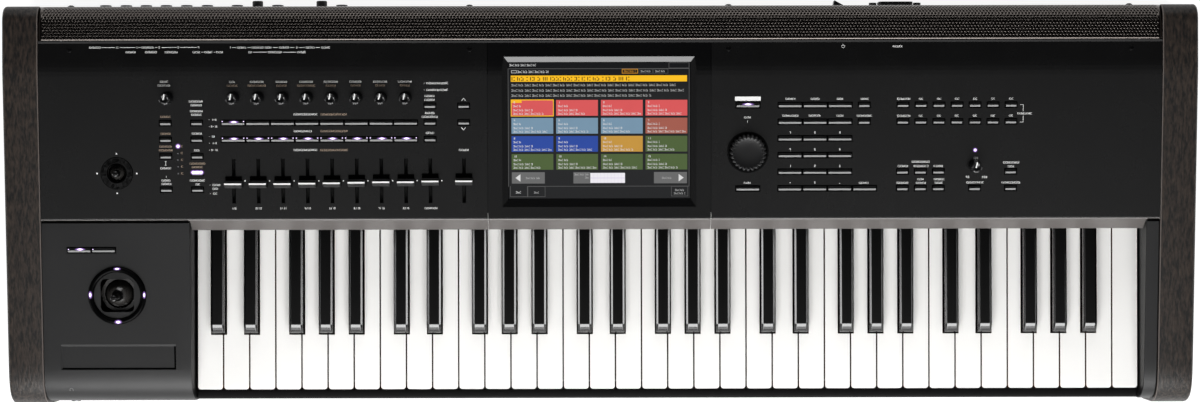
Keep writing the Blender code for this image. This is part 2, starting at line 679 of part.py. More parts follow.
def make_key_slip():
    """The strip in front of the keys, moulded with the block at their right end."""
    top, rear = SLIP_TOP_Z, SLIP_REAR_Y
    front = BLOCK_FRONT_Y + 0.001
    wall = BLOCK_WALL
    outline = [(front, BLOCK_BOTTOM_Z), (front + wall, BLOCK_BOTTOM_Z), (front + wall, top - wall),
               (rear, top - wall), (rear, top), (front + 0.002, top), (front, top - 0.002)]
    strip = side_mesh(outline, JOYSTICK_PANEL_RIGHT + CLEARANCE, RIGHT_BLOCK_LEFT + 0.004)
    slip = new_part("key_slip", strip, "moulded_black")
    block = side_mesh(block_outline(BLOCK_FRONT_Y + 0.0005, -BLOCK_DROP, BLOCK_REAR_Y, BLOCK_BOTTOM_Z),
                      RIGHT_BLOCK_LEFT, INNER_HALF_WIDTH)
    add_boolean(slip, block, "UNION")


def display_inner():
    """The bottom of the display's recess: its lower and upper corners across and up the slope."""
    (left, front), (right, rear) = DISPLAY_OUTER
    (bevel_left, bevel_front), (bevel_right, bevel_rear) = DISPLAY_BEVEL
    return (left + bevel_left, front + bevel_front), (right - bevel_right, rear - bevel_rear)


def make_centre_plate():
    """The glossy plate in the middle of the deck, lip included, with the display's recess in its frame."""
    left, right = CENTRE_PLATE[0] + CLEARANCE, CENTRE_PLATE[1] - CLEARANCE
    plate = sheet_part("display_bezel", list(reversed(deck_profile())), "gloss_black", CENTRE_PLATE_THICKNESS,
                       left, right)
    front, rear = DISPLAY_FRAME_V
    frame = boxes_mesh([((left + 0.0010, front, DISPLAY_FLOOR), (right - 0.0010, rear, -0.0018))])
    add_boolean(plate, frame, "UNION", DECK)
    front, rear = DISPLAY_FLANGE_V
    flange = boxes_mesh([((left - DISPLAY_FLANGE, front, DISPLAY_FLOOR + 0.0004),
                          (right + DISPLAY_FLANGE, rear, -SHEET - CLEARANCE * 2))])
    add_boolean(plate, flange, "UNION", DECK)
    inner_low, inner_high = display_inner()
    recess = frustum_mesh(DISPLAY_OUTER, (inner_low, inner_high), 0.0001, -DISPLAY_DEPTH)
    add_boolean(plate, recess, "DIFFERENCE", DECK)
    through = boxes_mesh([((*inner_low, DISPLAY_FLOOR - 0.001), (*inner_high, -DISPLAY_DEPTH + 0.0002))])
    add_boolean(plate, through, "DIFFERENCE", DECK)


def make_touch_screen():
    """The glass of the display, on its panel, filling the bottom of the recess."""
    (left, front), (right, rear) = display_inner()
    glass = boxes_mesh([((left + CLEARANCE, front + CLEARANCE, DISPLAY_FLOOR + 0.0006),
                         (right - CLEARANCE, rear - CLEARANCE, -DISPLAY_DEPTH - 0.0002))])
    new_part("touch_screen", glass, "screen_glass", DECK)


def make_key_frame():
    """The pressed tray under the keys: front stop rail, contact rail and rear hinge rail."""
    rear_top = KEY_TOP_Z - 0.001
    outline = [(-0.160, 0.0125), (0.052, 0.0125), (0.052, rear_top), (0.0425, rear_top), (0.0425, 0.0560),
               (0.030, 0.0560), (0.030, 0.0535), (0.049, 0.0535), (0.049, 0.0150), (-0.018, 0.0150),
               (-0.018, 0.0490), (-0.046, 0.0490), (-0.046, 0.0150), (-0.140, 0.0150), (-0.140, 0.0340),
               (-0.154, 0.0340), (-0.154, 0.0150), (-0.160, 0.0150)]
    new_part("key_frame", side_mesh(outline, JOYSTICK_PANEL_RIGHT + 0.004, RIGHT_BLOCK_LEFT - 0.001), "steel")


def finger_outlines(keys):
    """Plan outline of each white key of an octave, from its front to just inside the rear bar."""
    slots = [(centre - BLACK_SLOT / 2, centre + BLACK_SLOT / 2) for centre in BLACK_CENTRES]
    rear = KEY_BAR_FRONT_Y + 0.004
    outlines = []
    for key in range(keys):
        left = WHITE_PITCH * key + KEY_GAP / 2
        right = WHITE_PITCH * (key + 1) - KEY_GAP / 2
        before = next((slot for slot in slots if slot[0] < left < slot[1]), None)
        after = next((slot for slot in slots if slot[0] < right < slot[1]), None)
        points = [(left, rear)]
        if before:
            points = [(before[1], rear), (before[1], BLACK_SLOT_FRONT_Y), (left, BLACK_SLOT_FRONT_Y)]
        points += [(left, KEY_FRONT_Y + KEY_CORNER), (left + KEY_CORNER, KEY_FRONT_Y),
                   (right - KEY_CORNER, KEY_FRONT_Y), (right, KEY_FRONT_Y + KEY_CORNER)]
        if after and key < keys - 1:
            points += [(right, BLACK_SLOT_FRONT_Y), (after[0], BLACK_SLOT_FRONT_Y), (after[0], rear)]
        else:
            points += [(right, rear)]
        outlines.append(points)
    return outlines


def make_white_octave(number, keys):
    """One octave of white keys, moulded as a comb that rocks on the hinge rail."""
    pivot_y, pivot_z = KEY_PIVOT
    place = (KEYS_LEFT + OCTAVE * number, pivot_y, pivot_z)
    top = KEY_TOP_Z - pivot_z
    bar = boxes_mesh([((KEY_GAP / 2, KEY_BAR_FRONT_Y - pivot_y, top - KEY_THICKNESS + 0.0005),
                       (WHITE_PITCH * keys - KEY_GAP / 2, KEY_BAR_REAR_Y - pivot_y, top - 0.0005))])
    comb = new_part(f"white_keys_octave_{number + 1}", bar, "key_white", location=place)
    fingers = bmesh.new()
    lips = bmesh.new()
    front = KEY_FRONT_Y - pivot_y + KEY_LIP_INSET
    for key, outline in enumerate(finger_outlines(keys)):
        finger = plate_mesh([[(x, y - pivot_y) for x, y in outline]], top - KEY_THICKNESS, top)
        fingers.from_mesh(finger)
        x = WHITE_PITCH * key + KEY_GAP / 2 + KEY_CORNER
        box(lips, (x, front, top - KEY_THICKNESS - KEY_LIP_DROP),
            (x + WHITE_PITCH - KEY_GAP - 2 * KEY_CORNER, front + KEY_LIP_THICKNESS, top - 0.004))
    add_boolean(comb, new_mesh(fingers), "UNION", location=place)
    add_boolean(comb, new_mesh(lips), "UNION", location=place)


def make_black_octave(number):
    """One octave of black keys, moulded as a comb whose bar passes over the white keys' bar."""
    pivot_y, pivot_z = KEY_PIVOT
    left = KEYS_LEFT + OCTAVE * number
    bar_front, bar_low, bar_high = BLACK_BAR
    bar = boxes_mesh([((BLACK_CENTRES[0] - BLACK_BASE / 2, bar_front - pivot_y, bar_low - pivot_z),
                       (BLACK_CENTRES[-1] + BLACK_BASE / 2, KEY_BAR_REAR_Y - pivot_y, bar_high - pivot_z))])
    comb = new_part(f"black_keys_octave_{number + 1}", bar, "key_black", location=(left, pivot_y, pivot_z))
    bm = bmesh.new()
    base = KEY_TOP_Z - KEY_THICKNESS - 0.001 - pivot_z
    shoulder = KEY_TOP_Z + 0.0005 - pivot_z
    top = BLACK_TOP_Z - pivot_z
    for centre in BLACK_CENTRES:
        section = [(-BLACK_BASE / 2, base, 0), (BLACK_BASE / 2, base, 0), (BLACK_BASE / 2, shoulder, 0),
                   (BLACK_FLAT / 2, top, BLACK_FRONT_SLOPE), (-BLACK_FLAT / 2, top, BLACK_FRONT_SLOPE),
                   (-BLACK_BASE / 2, shoulder, 0)]
        fronts = [bm.verts.new((centre + x, BLACK_FRONT_Y - pivot_y + back, z)) for x, z, back in section]
        rears = [bm.verts.new((centre + x, BLACK_REAR_Y - pivot_y, z)) for x, z, _ in section]
        bm.faces.new(fronts)
        bm.faces.new(reversed(rears))
        for corner in range(len(section)):
            beyond = (corner + 1) % len(section)
            bm.faces.new((fronts[beyond], fronts[corner], rears[corner], rears[beyond]))
    bmesh.ops.recalc_face_normals(bm, faces=bm.faces)
    add_boolean(comb, new_mesh(bm), "UNION", location=(left, pivot_y, pivot_z))


# Plan outlines of the carriers under the deck that hold each group's caps, in millimetres
CARRIER_OUTLINES = {
    "left_buttons": [(-389.5, 24), (-349, 24), (-349, 90.5), (-389.5, 90.5)],
    "mixer_buttons": [(-334.5, 68), (-144, 68), (-144, 82.5), (-114.5, 82.5), (-114.5, 104.5),
                      (-126.5, 104.5), (-126.5, 90), (-144, 90), (-144, 104.5), (-156, 104.5), (-156, 90),
                      (-334.5, 90)],
    "mode_and_keypad_buttons": [(118, 24), (245, 24), (245, 104.5), (118, 104.5), (118, 97.5), (156, 97.5),
                                (156, 31.5), (118, 31.5)],
    "bank_and_sequencer_buttons": [(260, 24), (368, 24), (368, 47.5), (356, 47.5), (356, 31.5),
                                   (304.5, 31.5), (304.5, 47.5), (268, 47.5), (268, 82.5), (368, 82.5),
                                   (368, 104.5), (260, 104.5)],
    "switch_buttons": [(-473, -30), (-428, -30), (-428, -22), (-473, -22)],
}


def make_buttons(group, outline):
    """A group's caps on their common carrier, which sinks a little when pressed."""
    drop = BLOCK_DROP + 0.0006 if group == "switch_buttons" else 0.0
    middle_x = sum(x for x, _ in outline) / len(outline) / 1000
    middle_v = sum(v for _, v in outline) / len(outline) / 1000
    place = (middle_x, middle_v, -drop)
    points = [(x / 1000 - middle_x, v / 1000 - middle_v) for x, v in outline]
    plate = plate_mesh([points], CARRIER_TOP - CARRIER_THICKNESS, CARRIER_TOP)
    carrier = new_part(group, plate, "moulded_black", DECK, place)
    top = CAP_TOP + (0.0006 if group == "switch_buttons" else 0.0)
    section = [(CAP_FRONT, CARRIER_TOP - 0.0007), (CAP_REAR, CARRIER_TOP - 0.0007), (CAP_REAR, top),
               (CAP_FRONT + CAP_BEVEL, top), (CAP_FRONT, -0.0002)]
    caps = [([(v - middle_v + dv, w) for dv, w in section],
             x - middle_x - width / 2, x - middle_x + width / 2)
            for name, x, v, width in button_rows() if name == group]
    add_boolean(carrier, prisms_mesh(caps), "UNION", DECK, place)


def make_knob(name, x, v):
    """A tapered knob with its shaft through the deck."""
    gap = 0.0010
    profile = [(0, KNOB_HEIGHT), (KNOB_TOP_RADIUS - 0.0010, KNOB_HEIGHT - 0.0001),
               (KNOB_TOP_RADIUS, KNOB_HEIGHT - 0.0010), (KNOB_BASE_RADIUS, gap + 0.0015),
               (KNOB_BASE_RADIUS, gap), (KNOB_SHAFT_RADIUS, gap), (KNOB_SHAFT_RADIUS, -0.0040), (0, -0.0040)]
    knob = new_part(name, turned_mesh(profile), "moulded_black", DECK, (x, v, 0))
    add_turning(knob, 14)


def make_value_dial():
    """The large dial: a dished top and a fluted edge."""
    gap = 0.0010
    profile = [(0, DIAL_HEIGHT - 0.0012), (DIAL_RADIUS * 0.6, DIAL_HEIGHT - 0.0006),
               (DIAL_RADIUS - 0.0022, DIAL_HEIGHT), (DIAL_RADIUS - 0.0006, DIAL_HEIGHT - 0.0012),
               (DIAL_RADIUS, gap), (KNOB_SHAFT_RADIUS, gap), (KNOB_SHAFT_RADIUS, -0.0040), (0, -0.0040)]
    dial = new_part("value_dial", turned_mesh(profile), "moulded_black", DECK, (DIAL_X, DIAL_V, 0))
    add_turning(dial, 36)
    notches = []
    for number in range(DIAL_NOTCHES):
        angle = 2 * math.pi * (number + 0.5) / DIAL_NOTCHES
        reach = DIAL_RADIUS + 0.0007
        notches.append(dict(radius=0.0016, low=0, high=DIAL_HEIGHT + 0.004, sides=6,
                            centre=(reach * math.cos(angle), reach * math.sin(angle), 0)))
    add_boolean(dial, rods_mesh(notches), "DIFFERENCE", DECK, (DIAL_X, DIAL_V, 0))


def make_slider(name, x, v):
    """A slider: a cap with sloping sides on a flat lever through the slot."""
    low = 0.0012
    high = low + SLIDER_HEIGHT
    section = [(-0.0033, low), (0.0033, low), (0.0031, low + 0.0030), (0.0016, high), (-0.0016, high),
               (-0.0031, low + 0.0030)]
    mesh = prisms_mesh([(section, -SLIDER_WIDTH / 2, SLIDER_WIDTH / 2)])
    slider = new_part(name, mesh, "moulded_black", DECK, (x, v, 0))
    lever = boxes_mesh([((-0.0008, -0.0018, -0.0050), (0.0008, 0.0018, low + 0.0020))])
    add_boolean(slider, lever, "UNION", DECK, (x, v, 0))


def make_stick(name, stick, surface):
    """A two-axis stick: a gimbal that tips to and fro, and in it a domed lever that tips sideways."""
    place = (stick["x"], stick["v"], surface + stick["pivot"])
    ring = ring_mesh(stick["inner"], stick["outer"], -stick["ring"], stick["ring"])
    gimbal = new_part(name + "_gimbal", ring, "moulded_black", DECK, place)
    reach = stick["outer"] + 0.0030
    inside = (stick["inner"] + stick["outer"]) / 2
    pins = [dict(radius=stick["pin"], low=low, high=high, axis="X") for low, high in
            ((-reach, -inside), (inside, reach))]
    add_boolean(gimbal, rods_mesh(pins), "UNION", DECK, place)
    holes = [dict(radius=stick["pin"] + PIN_CLEARANCE, low=low, high=high, axis="Y") for low, high in
             ((-reach, -stick["dome"]), (stick["dome"], reach))]
    add_boolean(gimbal, rods_mesh(holes), "DIFFERENCE", DECK, place)

    bm = bmesh.new()
    bmesh.ops.create_uvsphere(bm, u_segments=16, v_segments=10, radius=stick["dome"])
    lever = new_part(name + "_lever", new_mesh(bm), "rubber", DECK, place)
    top = stick["height"] - stick["pivot"]
    shafts = [dict(radius=stick["stick"], low=stick["dome"] * 0.8, high=top, axis="Z"),
              dict(radius=stick["pin"], low=-stick["outer"] + 0.0005, high=-stick["dome"] * 0.8, axis="Y"),
              dict(radius=stick["pin"], low=stick["dome"] * 0.8, high=stick["outer"] - 0.0005, axis="Y")]
    add_boolean(lever, rods_mesh(shafts), "UNION", DECK, place)
    bm = bmesh.new()
    bmesh.ops.create_uvsphere(bm, u_segments=10, v_segments=6, radius=stick["tip"],
                              matrix=Matrix.Translation((0, 0, top)) @ Matrix.Diagonal((1, 1, 0.7, 1)))
    add_boolean(lever, new_mesh(bm), "UNION", DECK, place)


def make_panel_board():
    """The circuit board under the deck, with its pots, faders, strips of switches and spacers."""
    board_low, board_high = -0.0136, -0.0120
    board = new_part("panel_board", boxes_mesh([((-0.405, 0.008, board_low), (0.400, 0.122, board_high))]),
                     "circuit_board", DECK)
    root = board_high - 0.0008
    items = []
    for _, x, v in knob_places() + [("value_dial", DIAL_X, DIAL_V)]:
        items.append(((x - 0.005, v - 0.005, root), (x + 0.005, v + 0.005, -0.0046)))
    for _, x, _ in slider_places():
        items.append(((x - 0.004, SLOT_FRONT - 0.004, root), (x + 0.004, SLOT_REAR + 0.004, -0.0060)))
    for (left, front, _), (right, rear, _) in button_openings():
        items.append(((left + 0.0020, front, root), (right - 0.0020, rear, -0.0064)))
    bm = bmesh.new()
    for low, high in items:
        box(bm, low, high)
    for x in (-0.3985, -0.1110, 0.1110, 0.3950):
        for v in (0.0125, 0.1175):
            rod(bm, 0.003, root, -SHEET - CLEARANCE, centre=(x, v, 0), sides=8)
    add_boolean(board, new_mesh(bm), "UNION", DECK)


def make_main_board():
    """The computer board at the rear, with the connector block that fills the rear window."""
    x0, x1, z0, z1 = CONNECTOR_WINDOW
    low, high = MAIN_BOARD_Z, MAIN_BOARD_Z + BOARD_THICKNESS
    root = high - 0.0006
    board = new_part("main_board", boxes_mesh([((x0, 0.060, low), (0.100, 0.160, high))]), "circuit_board")
    block = boxes_mesh([((x0 + CLEARANCE, 0.150, root), (x1 - CLEARANCE, REAR_Y - 0.0030, z1 - CLEARANCE))])
    add_boolean(board, block, "UNION")
    face = boxes_mesh([((x0 + CLEARANCE, REAR_Y - 0.0040, z0 + CLEARANCE),
                        (x1 - CLEARANCE, REAR_Y, z1 - CLEARANCE))])
    add_boolean(board, face, "UNION")
    nuts = [dict(radius=JACK_NUT, low=REAR_Y - 0.002, high=REAR_Y + JACK_PROUD, axis="Y",
                 centre=(x, 0, JACK_Z)) for x in JACK_X]
    add_boolean(board, rods_mesh(nuts), "UNION")
    bores = [dict(radius=JACK_BORE, low=REAR_Y + JACK_PROUD - JACK_DEPTH, high=REAR_Y + 0.008, axis="Y",
                  sides=12, centre=(x, 0, JACK_Z)) for x in JACK_X]
    bores += [dict(radius=0.0026, low=REAR_Y - 0.012, high=REAR_Y + 0.002, axis="Y", centre=(x, 0, JACK_Z))
              for x in LEVEL_KNOB_X]
    add_boolean(board, rods_mesh(bores), "DIFFERENCE")
    bm = bmesh.new()
    for x in (-0.430, -0.200, 0.080):
        for y in (0.070, 0.145):
            rod(bm, 0.003, FLOOR_GAP + SHEET + CLEARANCE, low + 0.0008, centre=(x, y, 0), sides=8)
    box(bm, (-0.060, 0.080, root), (0.000, 0.130, high + 0.0124))
    add_boolean(board, new_mesh(bm), "UNION")


def make_level_knob(number, x):
    """A small input level knob at the rear, its shaft along Y."""
    top = LEVEL_KNOB_LENGTH
    profile = [(0, top), (0.0040, top), (0.0048, top - 0.0008), (0.0048, 0.0006), (0.0020, 0.0006),
               (0.0020, -0.0100), (0, -0.0100)]
    knob = new_part(f"level_knob_{number + 1}", turned_mesh(profile), "moulded_black",
                    location=(x, REAR_Y, JACK_Z), rotation=(-math.pi / 2, 0, 0))
    add_turning(knob, 16)


def on_rear_wall(mesh, x, z):
    """Stand a flat shape on the rear wall, its front facing back, and place its middle."""
    mesh.transform(Matrix.Translation((x, REAR_Y, z)) @ Matrix.Rotation(-math.pi / 2, 4, "X"))
    return mesh


def make_power_supply():
    """The power supply in its case, with the mains inlet and the rocker's well at the rear."""
    p0, p1, q0, q1 = POWER_WINDOW
    case = boxes_mesh([((p0 - 0.012, 0.085, FLOOR_GAP + SHEET + CLEARANCE),
                        (p1 + 0.012, REAR_Y - 0.0030, POWER_SUPPLY_TOP))])
    supply = new_part("power_supply", case, "steel")
    face = boxes_mesh([((p0 + CLEARANCE, REAR_Y - 0.0040, q0 + CLEARANCE),
                        (p1 - CLEARANCE, REAR_Y + 0.0006, q1 - CLEARANCE))])
    add_boolean(supply, face, "UNION")
    wide, tall, proud = INLET_FLANGE
    flange = plate_mesh([rounded_rectangle(wide / 2, tall / 2, 0.006)], -0.002, proud)
    add_boolean(supply, on_rear_wall(flange, INLET_X, INLET_Z), "UNION")
    wide, tall, block_proud = INLET_BLOCK
    block = plate_mesh([rounded_rectangle(wide / 2, tall / 2, 0.004)], 0.0, block_proud)
    add_boolean(supply, on_rear_wall(block, INLET_X, INLET_Z), "UNION")
    spread, radius, height = INLET_SCREWS
    screws = [dict(radius=radius, low=REAR_Y, high=REAR_Y + height, axis="Y", centre=(x, 0, INLET_Z))
              for x in (INLET_X - spread, INLET_X + spread)]
    add_boolean(supply, rods_mesh(screws), "UNION")
    width, height, depth = INLET_SIZE
    half, half_height, well_depth = ROCKER_WELL
    wells = boxes_mesh([((INLET_X - width / 2, REAR_Y + block_proud - depth, INLET_Z - height / 2),
                         (INLET_X + width / 2, REAR_Y + 0.010, INLET_Z + height / 2)),
                        ((ROCKER_X - half, REAR_Y - well_depth, INLET_Z - half_height),
                         (ROCKER_X + half, REAR_Y + 0.006, INLET_Z + half_height))])
    add_boolean(supply, wells, "DIFFERENCE")


def make_power_rocker():
    """The power switch: it rocks sideways about an upright axis, its left end out at rest."""
    outline = [(-0.0096, -0.0040), (0.0096, -0.0040), (0.0102, 0.0050), (0.0000, 0.0024), (-0.0102, 0.0050)]
    mesh = plate_mesh([outline], -ROCKER_WELL[1] + 0.0006, ROCKER_WELL[1] - 0.0006)
    new_part("power_rocker", mesh, "moulded_black", location=(ROCKER_X, REAR_Y, INLET_Z),
             rotation=(0, 0, -ROCKER_THROW))


def make_foot(name, x, y):
    """A rubber foot, wider at the top."""
    profile = [(0, FOOT_HEIGHT), (FOOT_RADIUS, FOOT_HEIGHT), (FOOT_RADIUS, 0.003), (FOOT_RADIUS - 0.0015, 0),
               (0, 0)]
    foot = new_part(name, turned_mesh(profile), "rubber", location=(x, y, 0))
    add_turning(foot, 20)


def build():
    make_chassis_pan()
    make_cheek("left_cheek", -1)
    make_cheek("right_cheek", 1)
    for name, x, y in (("foot_front_left", -FOOT_X, FOOT_FRONT_Y), ("foot_front_right", FOOT_X, FOOT_FRONT_Y),
                       ("foot_rear_left", -FOOT_X, FOOT_REAR_Y), ("foot_rear_right", FOOT_X, FOOT_REAR_Y)):
        make_foot(name, x, y)
    make_main_board()
    make_power_supply()
    make_power_rocker()
    for number, x in enumerate(LEVEL_KNOB_X):
        make_level_knob(number, x)
    make_key_frame()
    for number in range(5):
        make_white_octave(number, 8 if number == 4 else 7)
        make_black_octave(number)
    make_key_slip()
    make_joystick_panel()
    make_panel_board()
    make_top_panel()
    make_rear_grille()
    make_centre_plate()
    make_touch_screen()
    for group, outline in CARRIER_OUTLINES.items():
        make_buttons(group, outline)
    for name, x, v in knob_places():
        make_knob(name, x, v)
    make_value_dial()
    for name, x, v in slider_places():
        make_slider(name, x, v)
    make_stick("joystick", JOYSTICK, -BLOCK_DROP)
    make_stick("vector", VECTOR, 0.0)


clear_scene()
PARTS = new_collection("music_workstation")
CUTTERS = new_collection("cutters", hidden=True)
DECK = new_empty("deck_frame", (0, DECK_Y, DECK_Z), (DECK_TILT, 0, 0))
build()
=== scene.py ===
"""A music workstation with 61 keys, dressed around its solids in the order in which it is put together.

Metres; +X to the player's right, +Y to the rear, +Z up. The sloping deck has a frame of its own: x across,
v up the slope and w square to it.
"""

import math

import bmesh
import bpy
from mathutils import Matrix, Vector
from mathutils.geometry import interpolate_bezier


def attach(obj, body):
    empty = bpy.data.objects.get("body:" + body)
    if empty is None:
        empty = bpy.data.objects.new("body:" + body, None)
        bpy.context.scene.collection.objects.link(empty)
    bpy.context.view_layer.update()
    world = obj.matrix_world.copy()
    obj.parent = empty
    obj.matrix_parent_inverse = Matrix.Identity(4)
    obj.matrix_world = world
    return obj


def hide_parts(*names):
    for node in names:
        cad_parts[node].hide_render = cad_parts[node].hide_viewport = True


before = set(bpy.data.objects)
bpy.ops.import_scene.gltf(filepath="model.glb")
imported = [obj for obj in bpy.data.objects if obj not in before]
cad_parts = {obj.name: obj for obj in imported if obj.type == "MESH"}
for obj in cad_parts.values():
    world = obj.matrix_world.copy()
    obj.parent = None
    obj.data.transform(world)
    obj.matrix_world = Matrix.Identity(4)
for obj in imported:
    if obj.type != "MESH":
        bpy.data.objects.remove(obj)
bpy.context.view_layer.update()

# Chassis pan
# Floor, low front wall and rear wall are one sheet of steel, folded and powder coated black. The pan
# carries every other part; the cheeks and the deck are screwed to it.


def new_group(name, inputs, outputs):
    """An empty shader group with named sockets, and its input and output nodes."""
    group = bpy.data.node_groups.new(name, "ShaderNodeTree")
    for label, kind, value in inputs:
        group.interface.new_socket(label, in_out="INPUT",
                                   socket_type="NodeSocket" + kind).default_value = value
    for label, kind in outputs:
        group.interface.new_socket(label, in_out="OUTPUT", socket_type="NodeSocket" + kind)
    return group, group.nodes.new("NodeGroupInput").outputs, group.nodes.new("NodeGroupOutput").inputs


def connect(tree, socket, value):
    if isinstance(value, bpy.types.NodeSocket):
        tree.links.new(value, socket)
    else:
        socket.default_value = value[:3] if socket.type == "VECTOR" else value


def sum_of(tree, operation, *values):
    """A Math node on numbers or on other nodes' outputs."""
    node = tree.nodes.new("ShaderNodeMath")
    node.operation = operation
    for socket, value in zip(node.inputs, values):
        connect(tree, socket, value)
    return node.outputs[0]


def noise(tree, place, scale, detail=2.0, stretch=(1, 1, 1)):
    """Noise over the piece, drawn out where stretch is under 1."""
    mapping = tree.nodes.new("ShaderNodeMapping")
    mapping.inputs["Scale"].default_value = stretch
    tree.links.new(place, mapping.inputs["Vector"])
    node = tree.nodes.new("ShaderNodeTexNoise")
    tree.links.new(mapping.outputs[0], node.inputs["Vector"])
    connect(tree, node.inputs["Scale"], scale)
    node.inputs["Detail"].default_value = detail
    return node.outputs["Fac"]


def shaded(tree, colour, factor):
    """A colour made lighter or darker by a factor."""
    node = tree.nodes.new("ShaderNodeVectorMath")
    node.operation = "SCALE"
    connect(tree, node.inputs[0], colour)
    connect(tree, node.inputs["Scale"], factor)
    return node.outputs[0]


def blend(tree, factor, first, second, kind="Color"):
    """The first value where the factor is 0, the second where it is 1."""
    node = tree.nodes.new("ShaderNodeMix")
    node.data_type = {"Color": "RGBA", "Float": "FLOAT"}[kind]
    given = {socket.identifier: socket for socket in node.inputs}
    connect(tree, given["Factor_Float"], factor)
    connect(tree, given["A_" + kind], first)
    connect(tree, given["B_" + kind], second)
    return next(socket for socket in node.outputs if socket.identifier == "Result_" + kind)


def place_along(tree, axis):
    """How far along X, Y or Z the shaded point lies in its piece's own space."""
    node = tree.nodes.new("ShaderNodeSeparateXYZ")
    tree.links.new(tree.nodes.new("ShaderNodeTexCoord").outputs["Object"], node.inputs[0])
    return node.outputs[axis]


def make_grained_surface():
    """Grained surface: a little unevenness of colour and gloss, and the height of a fine grain."""
    group, given, result = new_group(
        "grained surface",
        [("Colour", "Color", (0.1, 0.1, 0.1, 1)), ("Mottle", "Float", 0.1), ("Mottle Scale", "Float", 15.0),
         ("Roughness", "Float", 0.5), ("Unevenness", "Float", 0.1), ("Grain Scale", "Float", 900.0)],
        [("Colour", "Color"), ("Roughness", "Float"), ("Height", "Float")])
    place = group.nodes.new("ShaderNodeTexCoord").outputs["Object"]
    broad = sum_of(group, "SUBTRACT", noise(group, place, given["Mottle Scale"], 4.0), 0.5)
    fine = noise(group, place, given["Grain Scale"], 1.0)
    both = sum_of(group, "ADD", broad, sum_of(group, "MULTIPLY", sum_of(group, "SUBTRACT", fine, 0.5), 0.5))
    swing = sum_of(group, "MULTIPLY_ADD", both, given["Mottle"], 1.0)
    gloss = sum_of(group, "MULTIPLY_ADD", broad, given["Unevenness"], given["Roughness"])
    group.links.new(shaded(group, given["Colour"], swing), result["Colour"])
    group.links.new(gloss, result["Roughness"])
    group.links.new(fine, result["Height"])
    return group


grained_surface = make_grained_surface()


def use_group(tree, group, **values):
    node = tree.nodes.new("ShaderNodeGroup")
    node.node_tree = group
    for label, value in values.items():
        connect(tree, node.inputs[label.replace("_", " ").title()], value)
    return node.outputs


def bump(tree, height, depth):
    """A normal from a height between 0 and 1 that stands for a depth in metres."""
    node = tree.nodes.new("ShaderNodeBump")
    node.inputs["Distance"].default_value = depth
    tree.links.new(height, node.inputs["Height"])
    return node.outputs[0]


def new_material(name):
    """A material, its node tree and its main shader."""
    material = bpy.data.materials.new(name)
    material.use_nodes = True
    return material, material.node_tree, material.node_tree.nodes["Principled BSDF"]


def finish(name, colour, roughness, grain=900.0, depth=0.00003, mottle=0.15, mottle_scale=15.0,
           unevenness=0.1, metallic=0.0, sheen_level=0.5):
    """A material with the grained surface in it."""
    material, tree, shader = new_material(name)
    shader.inputs["Metallic"].default_value = metallic
    shader.inputs["Specular IOR Level"].default_value = sheen_level
    skin = use_group(tree, grained_surface, colour=(*colour, 1), roughness=roughness, mottle=mottle,
                     mottle_scale=mottle_scale, unevenness=unevenness, grain_scale=grain)
    tree.links.new(skin["Colour"], shader.inputs["Base Color"])
    tree.links.new(skin["Roughness"], shader.inputs["Roughness"])
    tree.links.new(bump(tree, skin["Height"], depth), shader.inputs["Normal"])
    return material


def repaint(material, where, colour, roughness=None):
    """Another colour where a factor is 1, and another roughness there if one is given."""
    tree = material.node_tree
    for label, kind, value in (("Base Color", "Color", (*colour, 1)), ("Roughness", "Float", roughness)):
        if value is not None:
            socket = tree.nodes["Principled BSDF"].inputs[label]
            tree.links.new(blend(tree, where, socket.links[0].from_socket, value, kind), socket)
    return material


def dress(node, material):
    """Put a material on a solid that stays as it is."""
    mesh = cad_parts[node].data
    mesh.materials.clear()
    mesh.materials.append(material)


powder_coat = finish("powder coat", (0.016, 0.016, 0.017), 0.5, grain=1400.0, depth=0.00005)
dress("chassis_pan", powder_coat)

# Feet
# Four moulded rubber feet, each held by a screw through the pan.

rubber = finish("foot rubber", (0.018, 0.018, 0.018), 0.8, grain=2200.0, depth=0.00006, mottle=0.3)
for side in ("front_left", "front_right", "rear_left", "rear_right"):
    dress("foot_" + side, rubber)


def block(bm, low, high):
    """A box between two corners."""
    size = Vector(high) - Vector(low)
    middle = (Vector(high) + Vector(low)) / 2
    bmesh.ops.create_cube(bm, size=1, matrix=Matrix.Translation(middle) @ Matrix.Diagonal((*size, 1)))


def new_mesh(bm, name="shape"):
    mesh = bpy.data.meshes.new(name)
    bm.normal_update()
    bm.to_mesh(mesh)
    bm.free()
    return mesh


def boxes(*corners):
    """Boxes, each between two corners, as one mesh."""
    bm = bmesh.new()
    for low, high in corners:
        block(bm, low, high)
    return new_mesh(bm)


def outlined(left, front, right, rear, width):
    """Four bars round a rectangle, each as left, front, right and rear."""
    return [(left, front, right, front + width), (left, rear - width, right, rear),
            (left, front, left + width, rear), (right - width, front, right, rear)]


def swept(bm, points, run):
    """A flat outline drawn along a run into a solid. Returns the faces."""
    before = set(bm.faces)
    face = bm.faces.new([bm.verts.new(point) for point in points])
    drawn = bmesh.ops.extrude_face_region(bm, geom=[face])["geom"]
    bmesh.ops.translate(bm, verts=[item for item in drawn if isinstance(item, bmesh.types.BMVert)], vec=run)
    made = [face for face in bm.faces if face not in before]
    bmesh.ops.recalc_face_normals(bm, faces=made)
    return made


def lofted(bm, rings):
    """A solid through rings that all have the same number of points."""
    rings = [[bm.verts.new(point) for point in ring] for ring in rings]
    bm.faces.new(rings[0])
    bm.faces.new(rings[-1][::-1])
    for near, far in zip(rings, rings[1:]):
        for sides in zip(near[1:] + near[:1], near, far, far[1:] + far[:1]):
            bm.faces.new(sides)
    bmesh.ops.recalc_face_normals(bm, faces=bm.faces)


